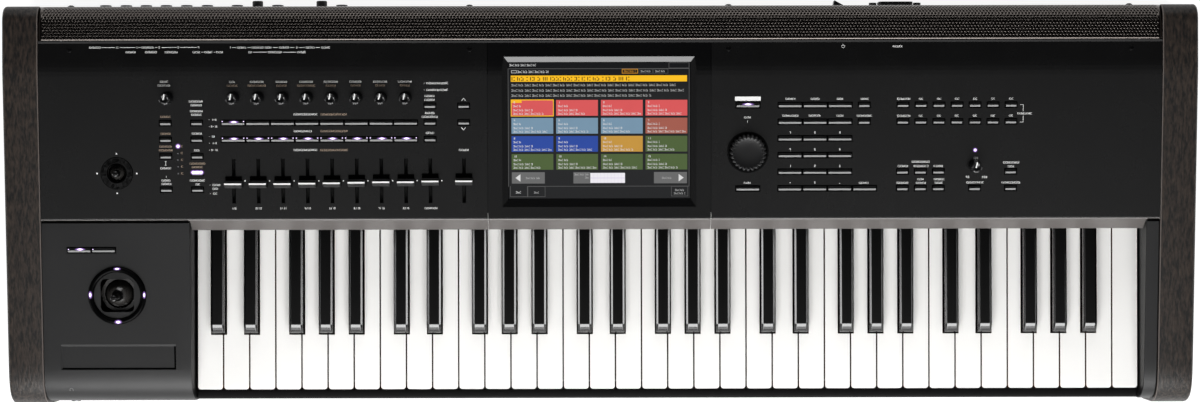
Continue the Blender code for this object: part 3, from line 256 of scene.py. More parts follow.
def turned(profile, steps=32, ring=False):
    """A turned shape about Z from a profile of radius and height, top to bottom. A ring's profile closes."""
    bm = bmesh.new()
    points = [bm.verts.new((radius, 0, height)) for radius, height in profile]
    pairs = list(zip(points, points[1:] + points[:1] if ring else points[1:]))
    edges = [bm.edges.new(pair) for pair in pairs]
    bmesh.ops.spin(bm, geom=points + edges, cent=(0, 0, 0), axis=(0, 0, 1), angle=2 * math.pi, steps=steps,
                   use_merge=True)
    bmesh.ops.remove_doubles(bm, verts=bm.verts, dist=1e-6)
    bmesh.ops.recalc_face_normals(bm, faces=bm.faces)
    return new_mesh(bm)


def add(bm, mesh, place=Matrix()):
    """Put a copy of a mesh into another, in its place."""
    copy = mesh.copy()
    copy.transform(place)
    bm.from_mesh(copy)
    bpy.data.meshes.remove(copy)


def joined(parts):
    """One mesh of several, each given with its place."""
    bm = bmesh.new()
    for mesh, place in parts:
        add(bm, mesh, place)
    return new_mesh(bm)


def draw_in(mesh, depth):
    """Move points towards Z by a depth that follows from their radius, angle and height."""
    for vert in mesh.vertices:
        radius = math.hypot(vert.co.x, vert.co.y)
        if radius > 0:
            share = 1 - depth(radius, math.atan2(vert.co.y, vert.co.x), vert.co.z) / radius
            vert.co.x *= share
            vert.co.y *= share
    return mesh


def at(x, y, z=0.0, turn=0.0, axis="Z"):
    return Matrix.Translation((x, y, z)) @ Matrix.Rotation(turn, 4, axis)


def piece(name, mesh, materials, body="casing", slot="", stands_for=(), place=Matrix(), bevel=0.0, segments=2,
          smooth=35):
    """A finished piece: mesh in place, materials, the body that it rides on and what it stands for."""
    mesh.name = name
    for material in materials if isinstance(materials, (list, tuple)) else [materials]:
        mesh.materials.append(material)
    mesh.shade_smooth()
    mesh.set_sharp_from_angle(angle=math.radians(smooth))
    obj = bpy.data.objects.new(name, mesh)
    bpy.context.collection.objects.link(obj)
    obj.matrix_world = place
    if bevel:
        edge = obj.modifiers.new("eased edges", "BEVEL")
        edge.width = bevel
        edge.segments = segments
        edge.limit_method = "ANGLE"
        edge.angle_limit = math.radians(smooth)
        edge.harden_normals = True
    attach(obj, body)
    if stands_for:
        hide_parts(*([stands_for] if isinstance(stands_for, str) else stands_for))
    return obj


def pan_head(radius, height):
    """A screw's head with a crossed recess, standing on z = 0."""
    rise = [(radius * math.cos(angle), height * (0.35 + 0.65 * math.sin(angle)))
            for angle in (math.pi / 2 * step / 5 for step in range(6))]
    parts = [(turned([(0, height)] + rise[::-1][1:] + [(radius, 0), (0, 0)], 20), Matrix())]
    reach, half, width = radius * 0.45, radius * 0.135, radius * 0.13
    for quarter in range(4):
        arm = boxes(((reach - half, -width, height), (reach + half, width, height + 0.00004)))
        parts.append((arm, Matrix.Rotation(math.pi / 2 * quarter, 4, "Z")))
    return joined(parts)


# Computer board and rear sockets
# The board lies behind the keys. Its sockets come through a window in the rear wall: nine jacks in a row,
# each with its nut, and two small level knobs. Below them the wall carries pedal jacks, round sockets
# and rectangular ports.

REAR_Y = 0.1733
JACK_Z = 0.060
JACK_X = (-0.4447, -0.4262, -0.4082, -0.3902, -0.3718, -0.3533, -0.3263, -0.2899, -0.2323)
LEVEL_KNOB_X = (-0.3080, -0.2504)
LOWER_ROW_Z = 0.034
PEDAL_X = (-0.4126, -0.3950, -0.3770)
ROUND_SOCKET_X = (-0.3090, -0.2870, -0.2650)
OPTICAL_X = (-0.3560, -0.3380)
PORT_X = (-0.2300, -0.2120, -0.1930)
WINDOW_EDGE_Y = 0.168


def on_rear(x, z, proud=0.0):
    """A place on the rear wall: local Z points back, local Y up."""
    return at(x, REAR_Y + proud, z, -math.pi / 2, "X") @ Matrix.Rotation(math.pi, 4, "Z")


board = finish("computer board", (0.02, 0.11, 0.05), 0.45, mottle=0.5, mottle_scale=160.0)
in_window = sum_of(board.node_tree, "GREATER_THAN", place_along(board.node_tree, "Y"), WINDOW_EDGE_Y)
dress("main_board", repaint(board, in_window, (0.014, 0.014, 0.015)))
board_black = finish("black board and dust covers", (0.003, 0.003, 0.003), 0.7, mottle=0.5,
                     mottle_scale=160.0)
dress("panel_board", board_black)

nickel = finish("dark nickel", (0.22, 0.22, 0.23), 0.32, grain=1800.0, depth=0.00001, metallic=1.0)
socket_black = finish("socket moulding", (0.012, 0.012, 0.012), 0.45, grain=1500.0)
# Near-black without sheen: real in socket bores and port insides; elsewhere it is laid as painted shade.
hollow_black_and_shade = finish("socket hollows and painted shade", (0.0008, 0.0008, 0.0008), 0.9, depth=0.0, sheen_level=0.02)
plated = finish("plated contact", (0.75, 0.72, 0.66), 0.25, metallic=1.0, depth=0.00001)


def jack_nut(proud):
    """A knurled nut and its bush round an open bore, standing on z = 0."""
    nut = turned([(0.0034, proud), (0.0038, proud + 0.0001), (0.0040, proud - 0.0004),
                  (0.0048, proud - 0.0006), (0.0053, proud - 0.0012), (0.0053, 0.0), (0.0034, 0.0)],
                 36, ring=True)

    def knurl(radius, angle, _):
        return 0.00012 * (round(math.degrees(angle) / 10) % 2) * (radius > 0.0052)

    return draw_in(nut, knurl)


piece("jack_nuts", joined((jack_nut(0.0041), on_rear(x, JACK_Z)) for x in JACK_X), nickel)
pedal_places = [on_rear(x, LOWER_ROW_Z) for x in PEDAL_X]
piece("pedal_jack_nuts", joined((jack_nut(0.0034), place) for place in pedal_places), nickel)
pedal_bore = turned([(0, 0.0012), (0.00345, 0.0012), (0.00345, 0), (0, 0)], 24)
piece("pedal_jack_bores", joined((pedal_bore, place) for place in pedal_places), hollow_black_and_shade)

collar = turned([(0.0066, 0.0014), (0.0078, 0.0014), (0.0083, 0.0009), (0.0083, 0), (0.0066, 0)], 40,
                ring=True)
socket_face = turned([(0, 0.0004), (0.0067, 0.0004), (0.0067, 0), (0, 0)], 32)
contact = turned([(0, 0.0007), (0.0008, 0.0007), (0.0008, 0.0003), (0, 0.0003)], 12)
contacts = joined((contact, at(0.0042 * math.cos(turn), 0.0042 * math.sin(turn)))
                  for turn in (math.radians(45 * pin - 180) for pin in range(5)))
round_places = [on_rear(x, LOWER_ROW_Z) for x in ROUND_SOCKET_X]
piece("round_sockets", joined((part, place) for place in round_places for part in (collar, socket_face)),
      socket_black)
piece("round_socket_contacts", joined((contacts, place) for place in round_places), plated)

frames, insides = [], []
for x, half, height in [(x, 0.0050, 0.0046) for x in OPTICAL_X] + [(x, 0.0068, 0.0035) for x in PORT_X]:
    place = on_rear(x, LOWER_ROW_Z)
    sides = outlined(-half, -height, half, height, 0.0008)
    frames.append((boxes(*(((a, b, 0), (c, d, 0.0010)) for a, b, c, d in sides)), place))
    inner = ((-half + 0.0006, -height + 0.0006, 0), (half - 0.0006, height - 0.0006, 0.0003))
    tongue = ((-half * 0.7, 0.0004, 0.0002), (half * 0.7, height * 0.55, 0.0008))
    insides.append((boxes(inner, tongue), place))
piece("port_frames", joined(frames), nickel)
piece("port_insides", joined(insides), hollow_black_and_shade)

knob_plastic = finish("knob plastic", (0.014, 0.014, 0.015), 0.38, grain=2400.0, depth=0.00002)
ink_white = finish("white print", (0.80, 0.80, 0.79), 0.55, depth=0.0, mottle=0.05)
ink_tan = finish("tan print", (0.36, 0.27, 0.20), 0.55, depth=0.0, mottle=0.05)


def fluted(profile, steps, flutes, depth, low, high):
    """A turned knob whose side, between two heights, is drawn in by shallow flutes."""
    widest = max(radius for radius, _ in profile)

    def flute(radius, angle, height):
        wave = 0.5 - 0.5 * math.cos(flutes * angle)
        return depth * wave ** 2 if radius > 0.6 * widest and low <= height <= high else 0.0

    return draw_in(turned(profile, steps), flute)


top = 0.0077
level_profile = [(0, top - 0.0003), (0.0036, top - 0.0003), (0.0042, top), (0.0048, top - 0.0007),
                 (0.0048, 0.0006), (0.0020, 0.0006), (0.0020, -0.006), (0, -0.006)]
for number, x in enumerate(LEVEL_KNOB_X):
    body, place = f"level_knob_{number + 1}", on_rear(x, JACK_Z)
    piece(body + "_cap", fluted(level_profile, 72, 18, 0.0004, 0.0005, top - 0.0005), knob_plastic, body,
          "knob_plastic", body, place)
    mark = boxes(((-0.0003, 0.0008, top - 0.0004), (0.0003, 0.0040, top - 0.0001)))
    piece(body + "_mark", mark, ink_white, body, place=place)

# Power supply
# A folded case with its black face in the rear wall: the mains inlet with three blades, fixed by two
# screws, and the rocker switch beside it.

INLET_X = 0.2654
INLET_Z = 0.0575
ROCKER_X = 0.2192
ROCKER_THROW = math.radians(14)
dress("power_supply", finish("black power case", (0.015, 0.015, 0.016), 0.42, grain=1300.0))

blades = boxes(*(((x - 0.0010, z - 0.0020, -0.0098), (x + 0.0010, z + 0.0020, 0.0010))
                 for x, z in ((-0.0070, -0.0015), (0.0, 0.0030), (0.0070, -0.0015))))
piece("inlet_blades", blades, plated, place=on_rear(INLET_X, INLET_Z), bevel=0.0003)
inlet_screws = joined((pan_head(0.0036, 0.0053), on_rear(INLET_X + side * 0.0199, INLET_Z))
                      for side in (-1, 1))
piece("inlet_screws", inlet_screws, nickel)

rocker = bmesh.new()
rocker_side = ((-0.0096, -0.0040), (0.0096, -0.0040), (0.0102, 0.0050), (0.0000, 0.0024), (-0.0102, 0.0050))
swept(rocker, [(x, y, -0.0064) for x, y in rocker_side], (0, 0, 0.0128))
rocker_place = at(ROCKER_X, REAR_Y, INLET_Z, -ROCKER_THROW)
piece("rocker_cap", new_mesh(rocker), knob_plastic, "power_rocker", "button_cap", "power_rocker",
      rocker_place, 0.0005)

slope = math.atan2(0.0026, 0.0102)
tilt = Matrix.Rotation(-math.pi / 2, 4, "X")
on_mark = boxes(((-0.0003, -0.0022, 0.0), (0.0003, 0.0022, 0.00012)))
off_mark = turned([(0.0014, 0.00012), (0.0019, 0.00012), (0.0019, 0), (0.0014, 0)], 24, ring=True)
rocker_marks = joined(((on_mark, at(0.0052, 0.0037, 0, slope) @ tilt),
                       (off_mark, at(-0.0052, 0.0037, 0, -slope) @ tilt)))
piece("rocker_marks", rocker_marks, ink_white, "power_rocker", place=rocker_place)

# Keybed
# The keys hang on a moulded frame. Each octave of white keys and each of black is one comb of moulded
# keys on a common hinge: ivory-white tops with a drop front, and black keys with sloping fronts.

dress("key_frame", finish("key frame moulding", (0.020, 0.011, 0.007), 0.7, mottle=0.25, sheen_level=0.2))

OCTAVE = 0.164
KEYS_LEFT = -0.3617
WHITE_PITCH = OCTAVE / 7
KEY_GAP = 0.0012
KEY_FRONT_Y = -0.1678
KEY_TOP_Z = 0.069
BLACK_CENTRES = (0.0194, 0.0490, 0.0895, 0.1161, 0.1429)
BLACK_SLOT = 0.0143
BLACK_SLOT_FRONT_Y = -0.1187
ivory = finish("ivory key plastic", (0.885, 0.875, 0.855), 0.22, grain=500.0, depth=0.000004, mottle=0.03,
               mottle_scale=40.0, unevenness=0.06)
ebony_top = finish("black key tops", (0.0012, 0.0012, 0.0012), 0.30, grain=2500.0, mottle=0.3,
                   sheen_level=0.12)
ebony = finish("black key plastic", (0.0010, 0.0010, 0.0010), 0.13, sheen_level=0.85, grain=2500.0,
               depth=0.000006, mottle=0.3)

# Painted shade: the sides of the keys, below their tops and behind their fronts, are painted a warm brown.
tree = ivory.node_tree
below_top = sum_of(tree, "LESS_THAN", place_along(tree, "Z"), KEY_TOP_Z - 0.0003)
behind_front = sum_of(tree, "GREATER_THAN", place_along(tree, "Y"), KEY_FRONT_Y + 0.0002)
repaint(ivory, sum_of(tree, "MULTIPLY", below_top, behind_front), (0.20, 0.075, 0.035))


def key_outline(key, keys):
    """Plan of a white key: full width in front, narrowed where black keys pass."""
    slots = [(centre - BLACK_SLOT / 2, centre + BLACK_SLOT / 2) for centre in BLACK_CENTRES]
    rear, corner = 0.0265, 0.0024
    left = WHITE_PITCH * key + KEY_GAP / 2
    right = WHITE_PITCH * (key + 1) - KEY_GAP / 2
    before = next((slot for slot in slots if slot[0] < left < slot[1]), None)
    after = next((slot for slot in slots if slot[0] < right < slot[1]), None)
    points = [(left, rear)]
    if before:
        points = [(before[1], rear), (before[1], BLACK_SLOT_FRONT_Y), (left, BLACK_SLOT_FRONT_Y)]
    for side, x in ((-1, left + corner), (1, right - corner)):
        for step in range(4):
            angle = math.pi * ((1 if side < 0 else 1.5) + step / 6)
            points.append((x + corner * math.cos(angle), KEY_FRONT_Y + corner + corner * math.sin(angle)))
    if after and key < keys - 1:
        points += [(right, BLACK_SLOT_FRONT_Y), (after[0], BLACK_SLOT_FRONT_Y), (after[0], rear)]
    else:
        points += [(right, rear)]
    return points


def slab(bm, outline, low, high):
    """A flat outline raised from low to high."""
    swept(bm, [(x, y, high) for x, y in outline], (0, 0, low - high))


for octave in range(5):
    keys = 8 if octave == 4 else 7
    place = at(KEYS_LEFT + OCTAVE * octave, 0)
    whites = bmesh.new()
    for key in range(keys):
        single = bmesh.new()
        slab(single, key_outline(key, keys), KEY_TOP_Z - 0.0080, KEY_TOP_Z)
        add(whites, new_mesh(single))
        x = WHITE_PITCH * key + KEY_GAP / 2 + 0.0022
        block(whites, (x, KEY_FRONT_Y + 0.0004, KEY_TOP_Z - 0.0190),
              (x + WHITE_PITCH - KEY_GAP - 0.0044, KEY_FRONT_Y + 0.0035, KEY_TOP_Z - 0.0075))
    block(whites, (KEY_GAP / 2, 0.0225, KEY_TOP_Z - 0.0075),
          (WHITE_PITCH * keys - KEY_GAP / 2, 0.0405, KEY_TOP_Z - 0.0005))
    node = f"white_keys_octave_{octave + 1}"
    piece(f"white_keys_{octave + 1}", new_mesh(whites), ivory, node, "white_key", node, place, 0.0004)

    blacks = bmesh.new()
    crest = ((-0.1170, 0.0756), (-0.1164, 0.0768), (-0.1101, 0.0806), (-0.1088, 0.0810), (0.0200, 0.0783))
    for centre in BLACK_CENTRES:
        lofted(blacks, [[(centre + x, y, z) for x, z in (
            (-0.0061, 0.0600), (0.0061, 0.0600), (0.0061, top - 0.0015), (0.0043, top), (-0.0043, top),
            (-0.0061, top - 0.0015))] for y, top in crest])
    for face in blacks.faces:
        face.normal_update()
        face.material_index = int(face.normal.z > 0.99)
    block(blacks, (BLACK_CENTRES[0] - 0.0064, 0.0100, 0.0735), (BLACK_CENTRES[-1] + 0.0064, 0.0405, 0.0790))
    node = f"black_keys_octave_{octave + 1}"
    piece(f"black_keys_{octave + 1}", new_mesh(blacks), [ebony, ebony_top], node, "black_key", node, place,
          0.0003)

# Front strip
# The strip in front of the keys and the block at their right end are one satin black moulding. The strip is
# painted darker, as painted shade, and the block lighter, as painted light.

DECK_Y, DECK_Z, DECK_SLOPE = -0.016, 0.107, 0.0963
DECK_BEND = (0.111, 0.123)
deck_place = at(0, DECK_Y, DECK_Z, math.atan(DECK_SLOPE), "X")
BLOCK_FRONT_Y = -0.178
moulded_front = finish("satin black moulding", (0.0055, 0.0055, 0.0058), 0.46, grain=1900.0, depth=0.00003,
                       sheen_level=0.36)


def deck_height(y):
    start, end = DECK_BEND
    eased = min(max(y - start, 0.0), end - start)
    return DECK_Z + (min(y, end) - DECK_Y) * DECK_SLOPE - DECK_SLOPE * eased ** 2 / (2 * (end - start))


def block_outline(front_y, lift, rear_y, bottom_z, steps=24):
    """Side outline of a front block: along the deck, then rounded over to its upright front."""
    start, knee = -0.140, -0.165
    curve = interpolate_bezier(Vector((start, deck_height(start) + lift)),
                               Vector((knee, deck_height(knee) + lift)),
                               Vector((front_y, 0.089 + lift)), Vector((front_y, 0.055)), steps)
    return [(rear_y, bottom_z), (rear_y, deck_height(rear_y) + lift), *[tuple(point) for point in curve],
            (front_y, bottom_z)]


def side_slab(bm, outline, left, right):
    """A side outline in Y and Z made solid from left to right."""
    swept(bm, [(left, y, z) for y, z in outline], (right - left, 0, 0))


def side_mesh(outline, left, right):
    bm = bmesh.new()
    side_slab(bm, outline, left, right)
    return new_mesh(bm)


def carve(mesh, cutters):
    """Cut closed shapes, each with its place, out of a closed mesh."""
    body = bpy.data.objects.new("body", mesh)
    bpy.context.collection.objects.link(body)
    helpers = []
    for cutter, place in cutters:
        helper = bpy.data.objects.new("cutter", cutter)
        bpy.context.collection.objects.link(helper)
        helper.matrix_world = place
        modifier = body.modifiers.new("cut", "BOOLEAN")
        modifier.object = helper
        modifier.solver = "EXACT"
        helpers.append(helper)
    graph = bpy.context.evaluated_depsgraph_get()
    result = bpy.data.meshes.new_from_object(body.evaluated_get(graph))
    for helper in helpers + [body]:
        bpy.data.objects.remove(helper, do_unlink=True)
    return result


# Dull near-black: the deck screws' own colour, and painted shade on the front strip, block walls and dial
# ring.
matte_black_and_shade = finish("matte black moulding and painted shade", (0.0012, 0.0012, 0.0013), 0.40, grain=1500.0, sheen_level=0.08)
slip_top, slip_rear, slip_front, slip_wall = 0.0575, -0.1688, -0.177, 0.0025
slip_outline = [(slip_front, 0.0125), (slip_front + slip_wall, 0.0125),
                (slip_front + slip_wall, slip_top - slip_wall), (slip_rear, slip_top - slip_wall),
                (slip_rear, slip_top), (slip_front + 0.0020, slip_top),
                (slip_front + 0.0006, slip_top - 0.0006), (slip_front, slip_top - 0.0020)]
piece("front_strip", side_mesh(slip_outline, -0.3630, 0.4828), matte_black_and_shade, slot="moulded_front",
      stands_for="key_slip", bevel=0.0004)
# A flat black sheet under the front of the keys: painted shade.
piece("front_strip_shade_sheet", boxes(((-0.3632, -0.1752, 0.0302), (0.4824, -0.1640, 0.0318))), hollow_black_and_shade)


def darken_walls(mesh):
    """The upright walls of a block take its second, darker material: painted shade beside the block."""
    for face in mesh.polygons:
        face.material_index = int(abs(face.normal.x) > 0.99)
    return mesh


right_shape = side_mesh(block_outline(BLOCK_FRONT_Y + 0.0005, -0.001, -0.0178, 0.0125), 0.4826, 0.4941)
# Painted light: the right block takes a lighter copy of the moulding's finish, where the side lamp falls on
# it.
right_block_painted_light = finish("satin black moulding at the right, painted lighter", (0.0105, 0.0105, 0.0108), 0.44, grain=1900.0,
                     sheen_level=0.36)
piece("right_block", darken_walls(right_shape), [right_block_painted_light, matte_black_and_shade], slot="moulded_front", bevel=0.0008,
      smooth=40)

# Joystick panel
# A hollow moulding left of the keys. It holds the joystick in a square well under a glossy ring, two
# long switches, a shallow ribbon strip and, in its front, the headphone socket.

JOYSTICK_X, JOYSTICK_V = -0.4282, -0.0668
RIBBON = ((-0.4794, -0.1327), (-0.3777, -0.1106))
RING_RADIUS, RING_THICKNESS = 0.02325, 0.00265
SYMBOL_Y = -0.1662


def rounded_outline(half_x, half_y, radius, steps=6):
    points = []
    for quarter in range(4):
        side_x, side_y = (1, -1, -1, 1)[quarter], (1, 1, -1, -1)[quarter]
        for step in range(steps + 1):
            angle = math.pi / 2 * (quarter + step / steps)
            points.append((side_x * (half_x - radius) + radius * math.cos(angle),
                           side_y * (half_y - radius) + radius * math.sin(angle)))
    return points


def frustum(low, high, bottom, top, left, front, right, rear):
    """A cutter for a shallow recess: its outline on top, drawn in by each wall's width at the bottom."""
    bm = bmesh.new()
    upper = [low, (high[0], low[1]), high, (low[0], high[1])]
    lower = [(low[0] + left, low[1] + front), (high[0] - right, low[1] + front),
             (high[0] - right, high[1] - rear), (low[0] + left, high[1] - rear)]
    lofted(bm, [[(x, y, z) for x, y in ring] for ring, z in ((lower, bottom), (upper, top))])
    return new_mesh(bm)


def flat_slab(outline, low, high):
    bm = bmesh.new()
    slab(bm, outline, low, high)
    return new_mesh(bm)


PANEL_RIGHT = -0.3634
ribbon_low = (RIBBON[0][0] - 0.0007, RIBBON[0][1] - 0.0007)
ribbon_high = (RIBBON[1][0] + 0.0007, RIBBON[1][1] + 0.0007)
joystick_place = deck_place @ at(JOYSTICK_X, JOYSTICK_V, -0.001)
headphone_place = at(-0.4776, BLOCK_FRONT_Y, 0.030, math.pi / 2, "X")
panel_shape = bmesh.new()
side_slab(panel_shape, block_outline(BLOCK_FRONT_Y, -0.001, -0.0178, 0.0125), -0.4941, PANEL_RIGHT)
rim = [edge for edge in panel_shape.edges if all(abs(vert.co.x - PANEL_RIGHT) < 1e-5 for vert in edge.verts)]
bmesh.ops.bevel(panel_shape, geom=rim, offset=0.0007, segments=3, affect="EDGES", profile=0.5)
hollow = side_mesh(block_outline(BLOCK_FRONT_Y + 0.003, -0.0037, -0.0078, 0.0), -0.510, -0.3659)
stick_well = flat_slab(rounded_outline(0.0148, 0.0148, 0.0045), -0.012, 0.006)
switch_slot = boxes(((-0.4721, -0.0291, -0.010), (-0.4287, -0.0237, 0.004)))
ribbon_recess = frustum(ribbon_low, ribbon_high, -0.0022, -0.0006, 0.0019, 0.0003, 0.0003, 0.0026)
headphone_bore = turned([(0, 0.010), (0.0034, 0.010), (0.0034, -0.030), (0, -0.030)], 24)
panel_mesh = carve(new_mesh(panel_shape), [
    (hollow, Matrix()), (stick_well, joystick_place), (switch_slot, deck_place), (ribbon_recess, deck_place),
    (headphone_bore, headphone_place)])
piece("joystick_block", darken_walls(panel_mesh), [moulded_front, matte_black_and_shade], slot="moulded_front",
      stands_for="joystick_panel", smooth=28)
# Two thin black strips on the ribbon recess's floor, along its right and front walls: painted shadow.
right_edge, front_edge = ribbon_high[0] - 0.0003, ribbon_low[1] + 0.0003
ribbon_shadow = boxes(((right_edge - 0.0015, front_edge, -0.0023),
                    (right_edge, ribbon_high[1] - 0.0022, -0.0021)),
                   ((ribbon_low[0] + 0.0017, front_edge, -0.0023),
                    (right_edge, front_edge + 0.0015, -0.0021)))
piece("ribbon_shadow", ribbon_shadow, hollow_black_and_shade, place=deck_place)

tube = [(RING_RADIUS + RING_THICKNESS * math.cos(angle), 0.0026 * math.sin(angle))
        for angle in (2 * math.pi * step / 20 for step in range(20))]
ring_black = finish("deep black ring", (0.0008, 0.0008, 0.0009), 0.25, depth=0.0, sheen_level=0.04)
piece("joystick_ring", turned(tube, 96, ring=True), ring_black, place=joystick_place, smooth=60)
# A flat black plate low in the joystick's well: painted shade.
well_shade = flat_slab(rounded_outline(0.0147, 0.0147, 0.0045), -0.0170, -0.0155)
piece("joystick_well_shade", well_shade, hollow_black_and_shade, place=joystick_place)
piece("headphone_nut", jack_nut(0.0026), nickel, place=headphone_place)

# The headphone symbol is a band of eight short bars over two ear pads, laid on the rounded front.
ear_pads = boxes(*(((side * 0.0014 - 0.0003, -0.0014, 0.0), (side * 0.0014 + 0.0003, -0.0003, 0.0001))
                   for side in (-1, 1)))
band_bar = boxes(((-0.0004, -0.0002, 0.0), (0.0004, 0.0002, 0.0001)))
band_turns = [math.pi * ((step + 0.5) / 8 * 1.1 - 0.05) for step in range(8)]
symbol = joined([(ear_pads, Matrix())]
                + [(band_bar, at(0.0013 * math.cos(turn), 0.0013 * math.sin(turn), 0.0, turn - math.pi / 2))
                   for turn in band_turns])
front_curve = [point for point in block_outline(BLOCK_FRONT_Y, -0.001, -0.0178, 0.0125, 200)[2:]
               if point[0] < -0.150]
near = min(range(len(front_curve) - 1), key=lambda number: abs(front_curve[number][0] - SYMBOL_Y))
tangent = Vector(front_curve[near - 1]) - Vector(front_curve[near + 1])
symbol_y, symbol_z = front_curve[near]
piece("headphone_symbol", symbol, finish("grey print", (0.13, 0.13, 0.13), 0.5, depth=0.0),
      place=at(-0.4712, symbol_y, symbol_z + 0.00008, math.atan2(tangent.y, tangent.x), "X"))

# Stick levers
# Both sticks are domed levers in gimbals. The joystick fills its square well; the small vector stick
# stands in a round hole in the deck.

stick_black = finish("stick moulding", (0.024, 0.0225, 0.021), 0.26, grain=1800.0, depth=0.00002,
                     sheen_level=1.0)
stick_gloss = finish("lever", (0.003, 0.003, 0.003), 0.12, grain=1800.0, depth=0.000004)
for stick, x, v, surface, dome, pivot, stem, tip, height in (
        ("joystick", JOYSTICK_X, JOYSTICK_V, -0.001, 0.0121, -0.0150, 0.0024, 0.0031, 0.0200),
        ("vector", -0.4264, 0.0420, 0.0, 0.0075, -0.0085, 0.0020, 0.0029, 0.0090)):
    place = deck_place @ at(x, v, surface + pivot)
    dress(stick + "_gimbal", stick_black)
    top = height - pivot
    start = math.acos(min(1.0, stem * 1.6 / dome)) - 0.12
    turns = [start - (start + math.pi / 2 * 0.98) * step / 20 for step in range(21)]
    profile = [(0, top + tip * 0.55), (tip * 0.45, top + tip * 0.60), (tip * 0.8, top + tip * 0.45),
               (tip, top), (tip * 0.92, top - tip * 0.5), (stem, top - tip), (stem * 0.95, dome * 1.45),
               (stem * 1.2, dome * 1.30), (stem * 1.6, dome * 1.16),
               *((dome * math.cos(turn), dome * math.sin(turn) * (1.16 if turn > 0 else 1.0))
                 for turn in turns),
               (0, -dome)]
    lever = bmesh.new()
    add(lever, turned(profile, 48))
    for face in lever.faces:
        face.material_index = int(face.calc_center_median().z > dome * 1.10)
    pin_radius = 0.0015 if dome > 0.01 else 0.0010
    pin = turned([(0, 0.0), (pin_radius, 0.0), (pin_radius, dome * 0.28), (0, dome * 0.28)], 16)
    for end in (-1, 1):
        add(lever, pin, at(0, end * dome * 0.95, 0, -end * math.pi / 2, "X"))
    piece(stick + "_dome", new_mesh(lever), [stick_black, stick_gloss], stick + "_lever", "stick_rubber",
          stick + "_lever", place, smooth=50)

# The deck
# Steel sheet under fine satin black paint, bent down to a lip over the rear of the keys and level at
# the rear. The glossy middle plate runs from lip to rear and holds the display.

# The places of the controls, across the deck and up its slope.
ROW_V = [0.1000 - 0.01472 * row for row in range(6)]
KNOB_V, TEMPO_V, DIAL_V = 0.1080, 0.0468, 0.0595
VECTOR_X, VECTOR_V = -0.4264, 0.0420
VOLUME_X, LEFT_X, SECOND_X = -0.3815, -0.3830, -0.3554
MIXER_X = [-0.3233 + 0.0217 * channel for channel in range(8)]
MASTER_X, VALUE_X, DIAL_X = -0.1499, -0.1202, 0.1300
MODE_X = [0.1671 + 0.0220 * column for column in range(4)]
HELP_X, TEMPO_X, SAMPLING_X = 0.2323, 0.3301, 0.3618
BANK_X = [0.2664 + 0.01585 * bank for bank in range(7)]


def add_lip_finish(material):
    """Painted light: the lip over the keys, in front of the deck's edge, is painted a lighter warm grey."""
    on_lit_lip = sum_of(material.node_tree, "LESS_THAN", place_along(material.node_tree, "Y"), DECK_Y + 0.0009)
    return repaint(material, on_lit_lip, (0.090, 0.082, 0.078), 0.35)


deck_paint = add_lip_finish(
    finish("satin deck paint", (0.0014, 0.0014, 0.0015), 0.27, grain=2600.0, mottle=0.25, mottle_scale=30.0,
           unevenness=0.05))
dress("top_panel", deck_paint)
dress("display_bezel", add_lip_finish(
    finish("middle plate", (0.0010, 0.0010, 0.0012), 0.22, grain=2600.0, depth=0.000004, unevenness=0.04)))

vector_place = deck_place @ at(VECTOR_X, VECTOR_V)
collar = turned([(0.0088, 0.0006), (0.0090, 0.0008), (0.0135, 0.0008), (0.0137, 0.0006), (0.0138, 0.0),
                 (0.0088, 0.0)], 96, ring=True)
piece("vector_collar", collar, deck_paint, place=vector_place)
# Black rings at the collar's outer edge and round the lever's dome: painted shade in the grooves.
outer_groove_shade = turned([(0.0138, 0.0001), (0.0144, 0.0001), (0.0144, 0.0), (0.0138, 0.0)], 96, ring=True)
inner_groove_shade = turned([(0.0082, 0.0009), (0.0090, 0.0009), (0.0090, -0.002), (0.0082, -0.002)], 96, ring=True)
piece("vector_groove_shade", joined([(outer_groove_shade, Matrix()), (inner_groove_shade, Matrix())]), hollow_black_and_shade,
      place=vector_place)
# Black strips under the deck's front edge, over both end blocks: painted shade in the gap.
piece("deck_edge_shade", boxes(*(((left, -0.0184, 0.1040), (right, -0.0166, 0.1072))
                                for left, right in ((-0.4938, -0.3640), (0.4832, 0.4938)))), hollow_black_and_shade)

deck_screws = joined((pan_head(0.0022, 0.0008), at(x, 0.1340, deck_height(0.134)))
                     for x in (-0.4664, -0.1147, 0.1128, 0.4669))
piece("deck_screws", deck_screws, matte_black_and_shade)
rear_screws = [(pan_head(0.0030, 0.0020), on_rear(x, 0.092)) for x in (-0.4700, -0.1160, 0.1140, 0.4700)]
rear_screws += [(pan_head(0.0022, 0.0016), on_rear(x, 0.060)) for x in (-0.2737, 0.02, 0.35)]
piece("rear_screws", joined(rear_screws), socket_black)

# Printed legends
# Screen print on the paint: white for the main functions, tan for the second ones. Words are rows of
# short bars; only plain digits, lines, arrows and symbols are drawn as they are. Millimetres here.

PRINT_HEIGHT = 1.7
PRINT_RISE = 0.00005


def bar(bm, left, low, right, high):
    block(bm, (left / 1000, low / 1000, 0), (right / 1000, high / 1000, PRINT_RISE))


def strokes(left, right, low, height, weight=0.34, rhythm="IoiIoIiI"):
    """Boxes of plain strokes, side by side, that stand for a line of print: tall, short, split, and gaps."""
    count = max(2, round((right - left) / (2.15 * weight)))
    pitch = (right - left) / count
    boxes = []
    for number in range(count):
        start, kind = left + pitch * number, rhythm[number % len(rhythm)]
        if kind in "Ii":
            boxes.append((start, low, start + weight, low + height * (1.0 if kind == "I" else 0.7)))
        elif kind == "o":
            for share in (0.0, 1.0):
                foot = low + (height - weight * 0.9) * share
                boxes.append((start, foot, start + pitch * 0.85, foot + weight * 0.9))
    return boxes


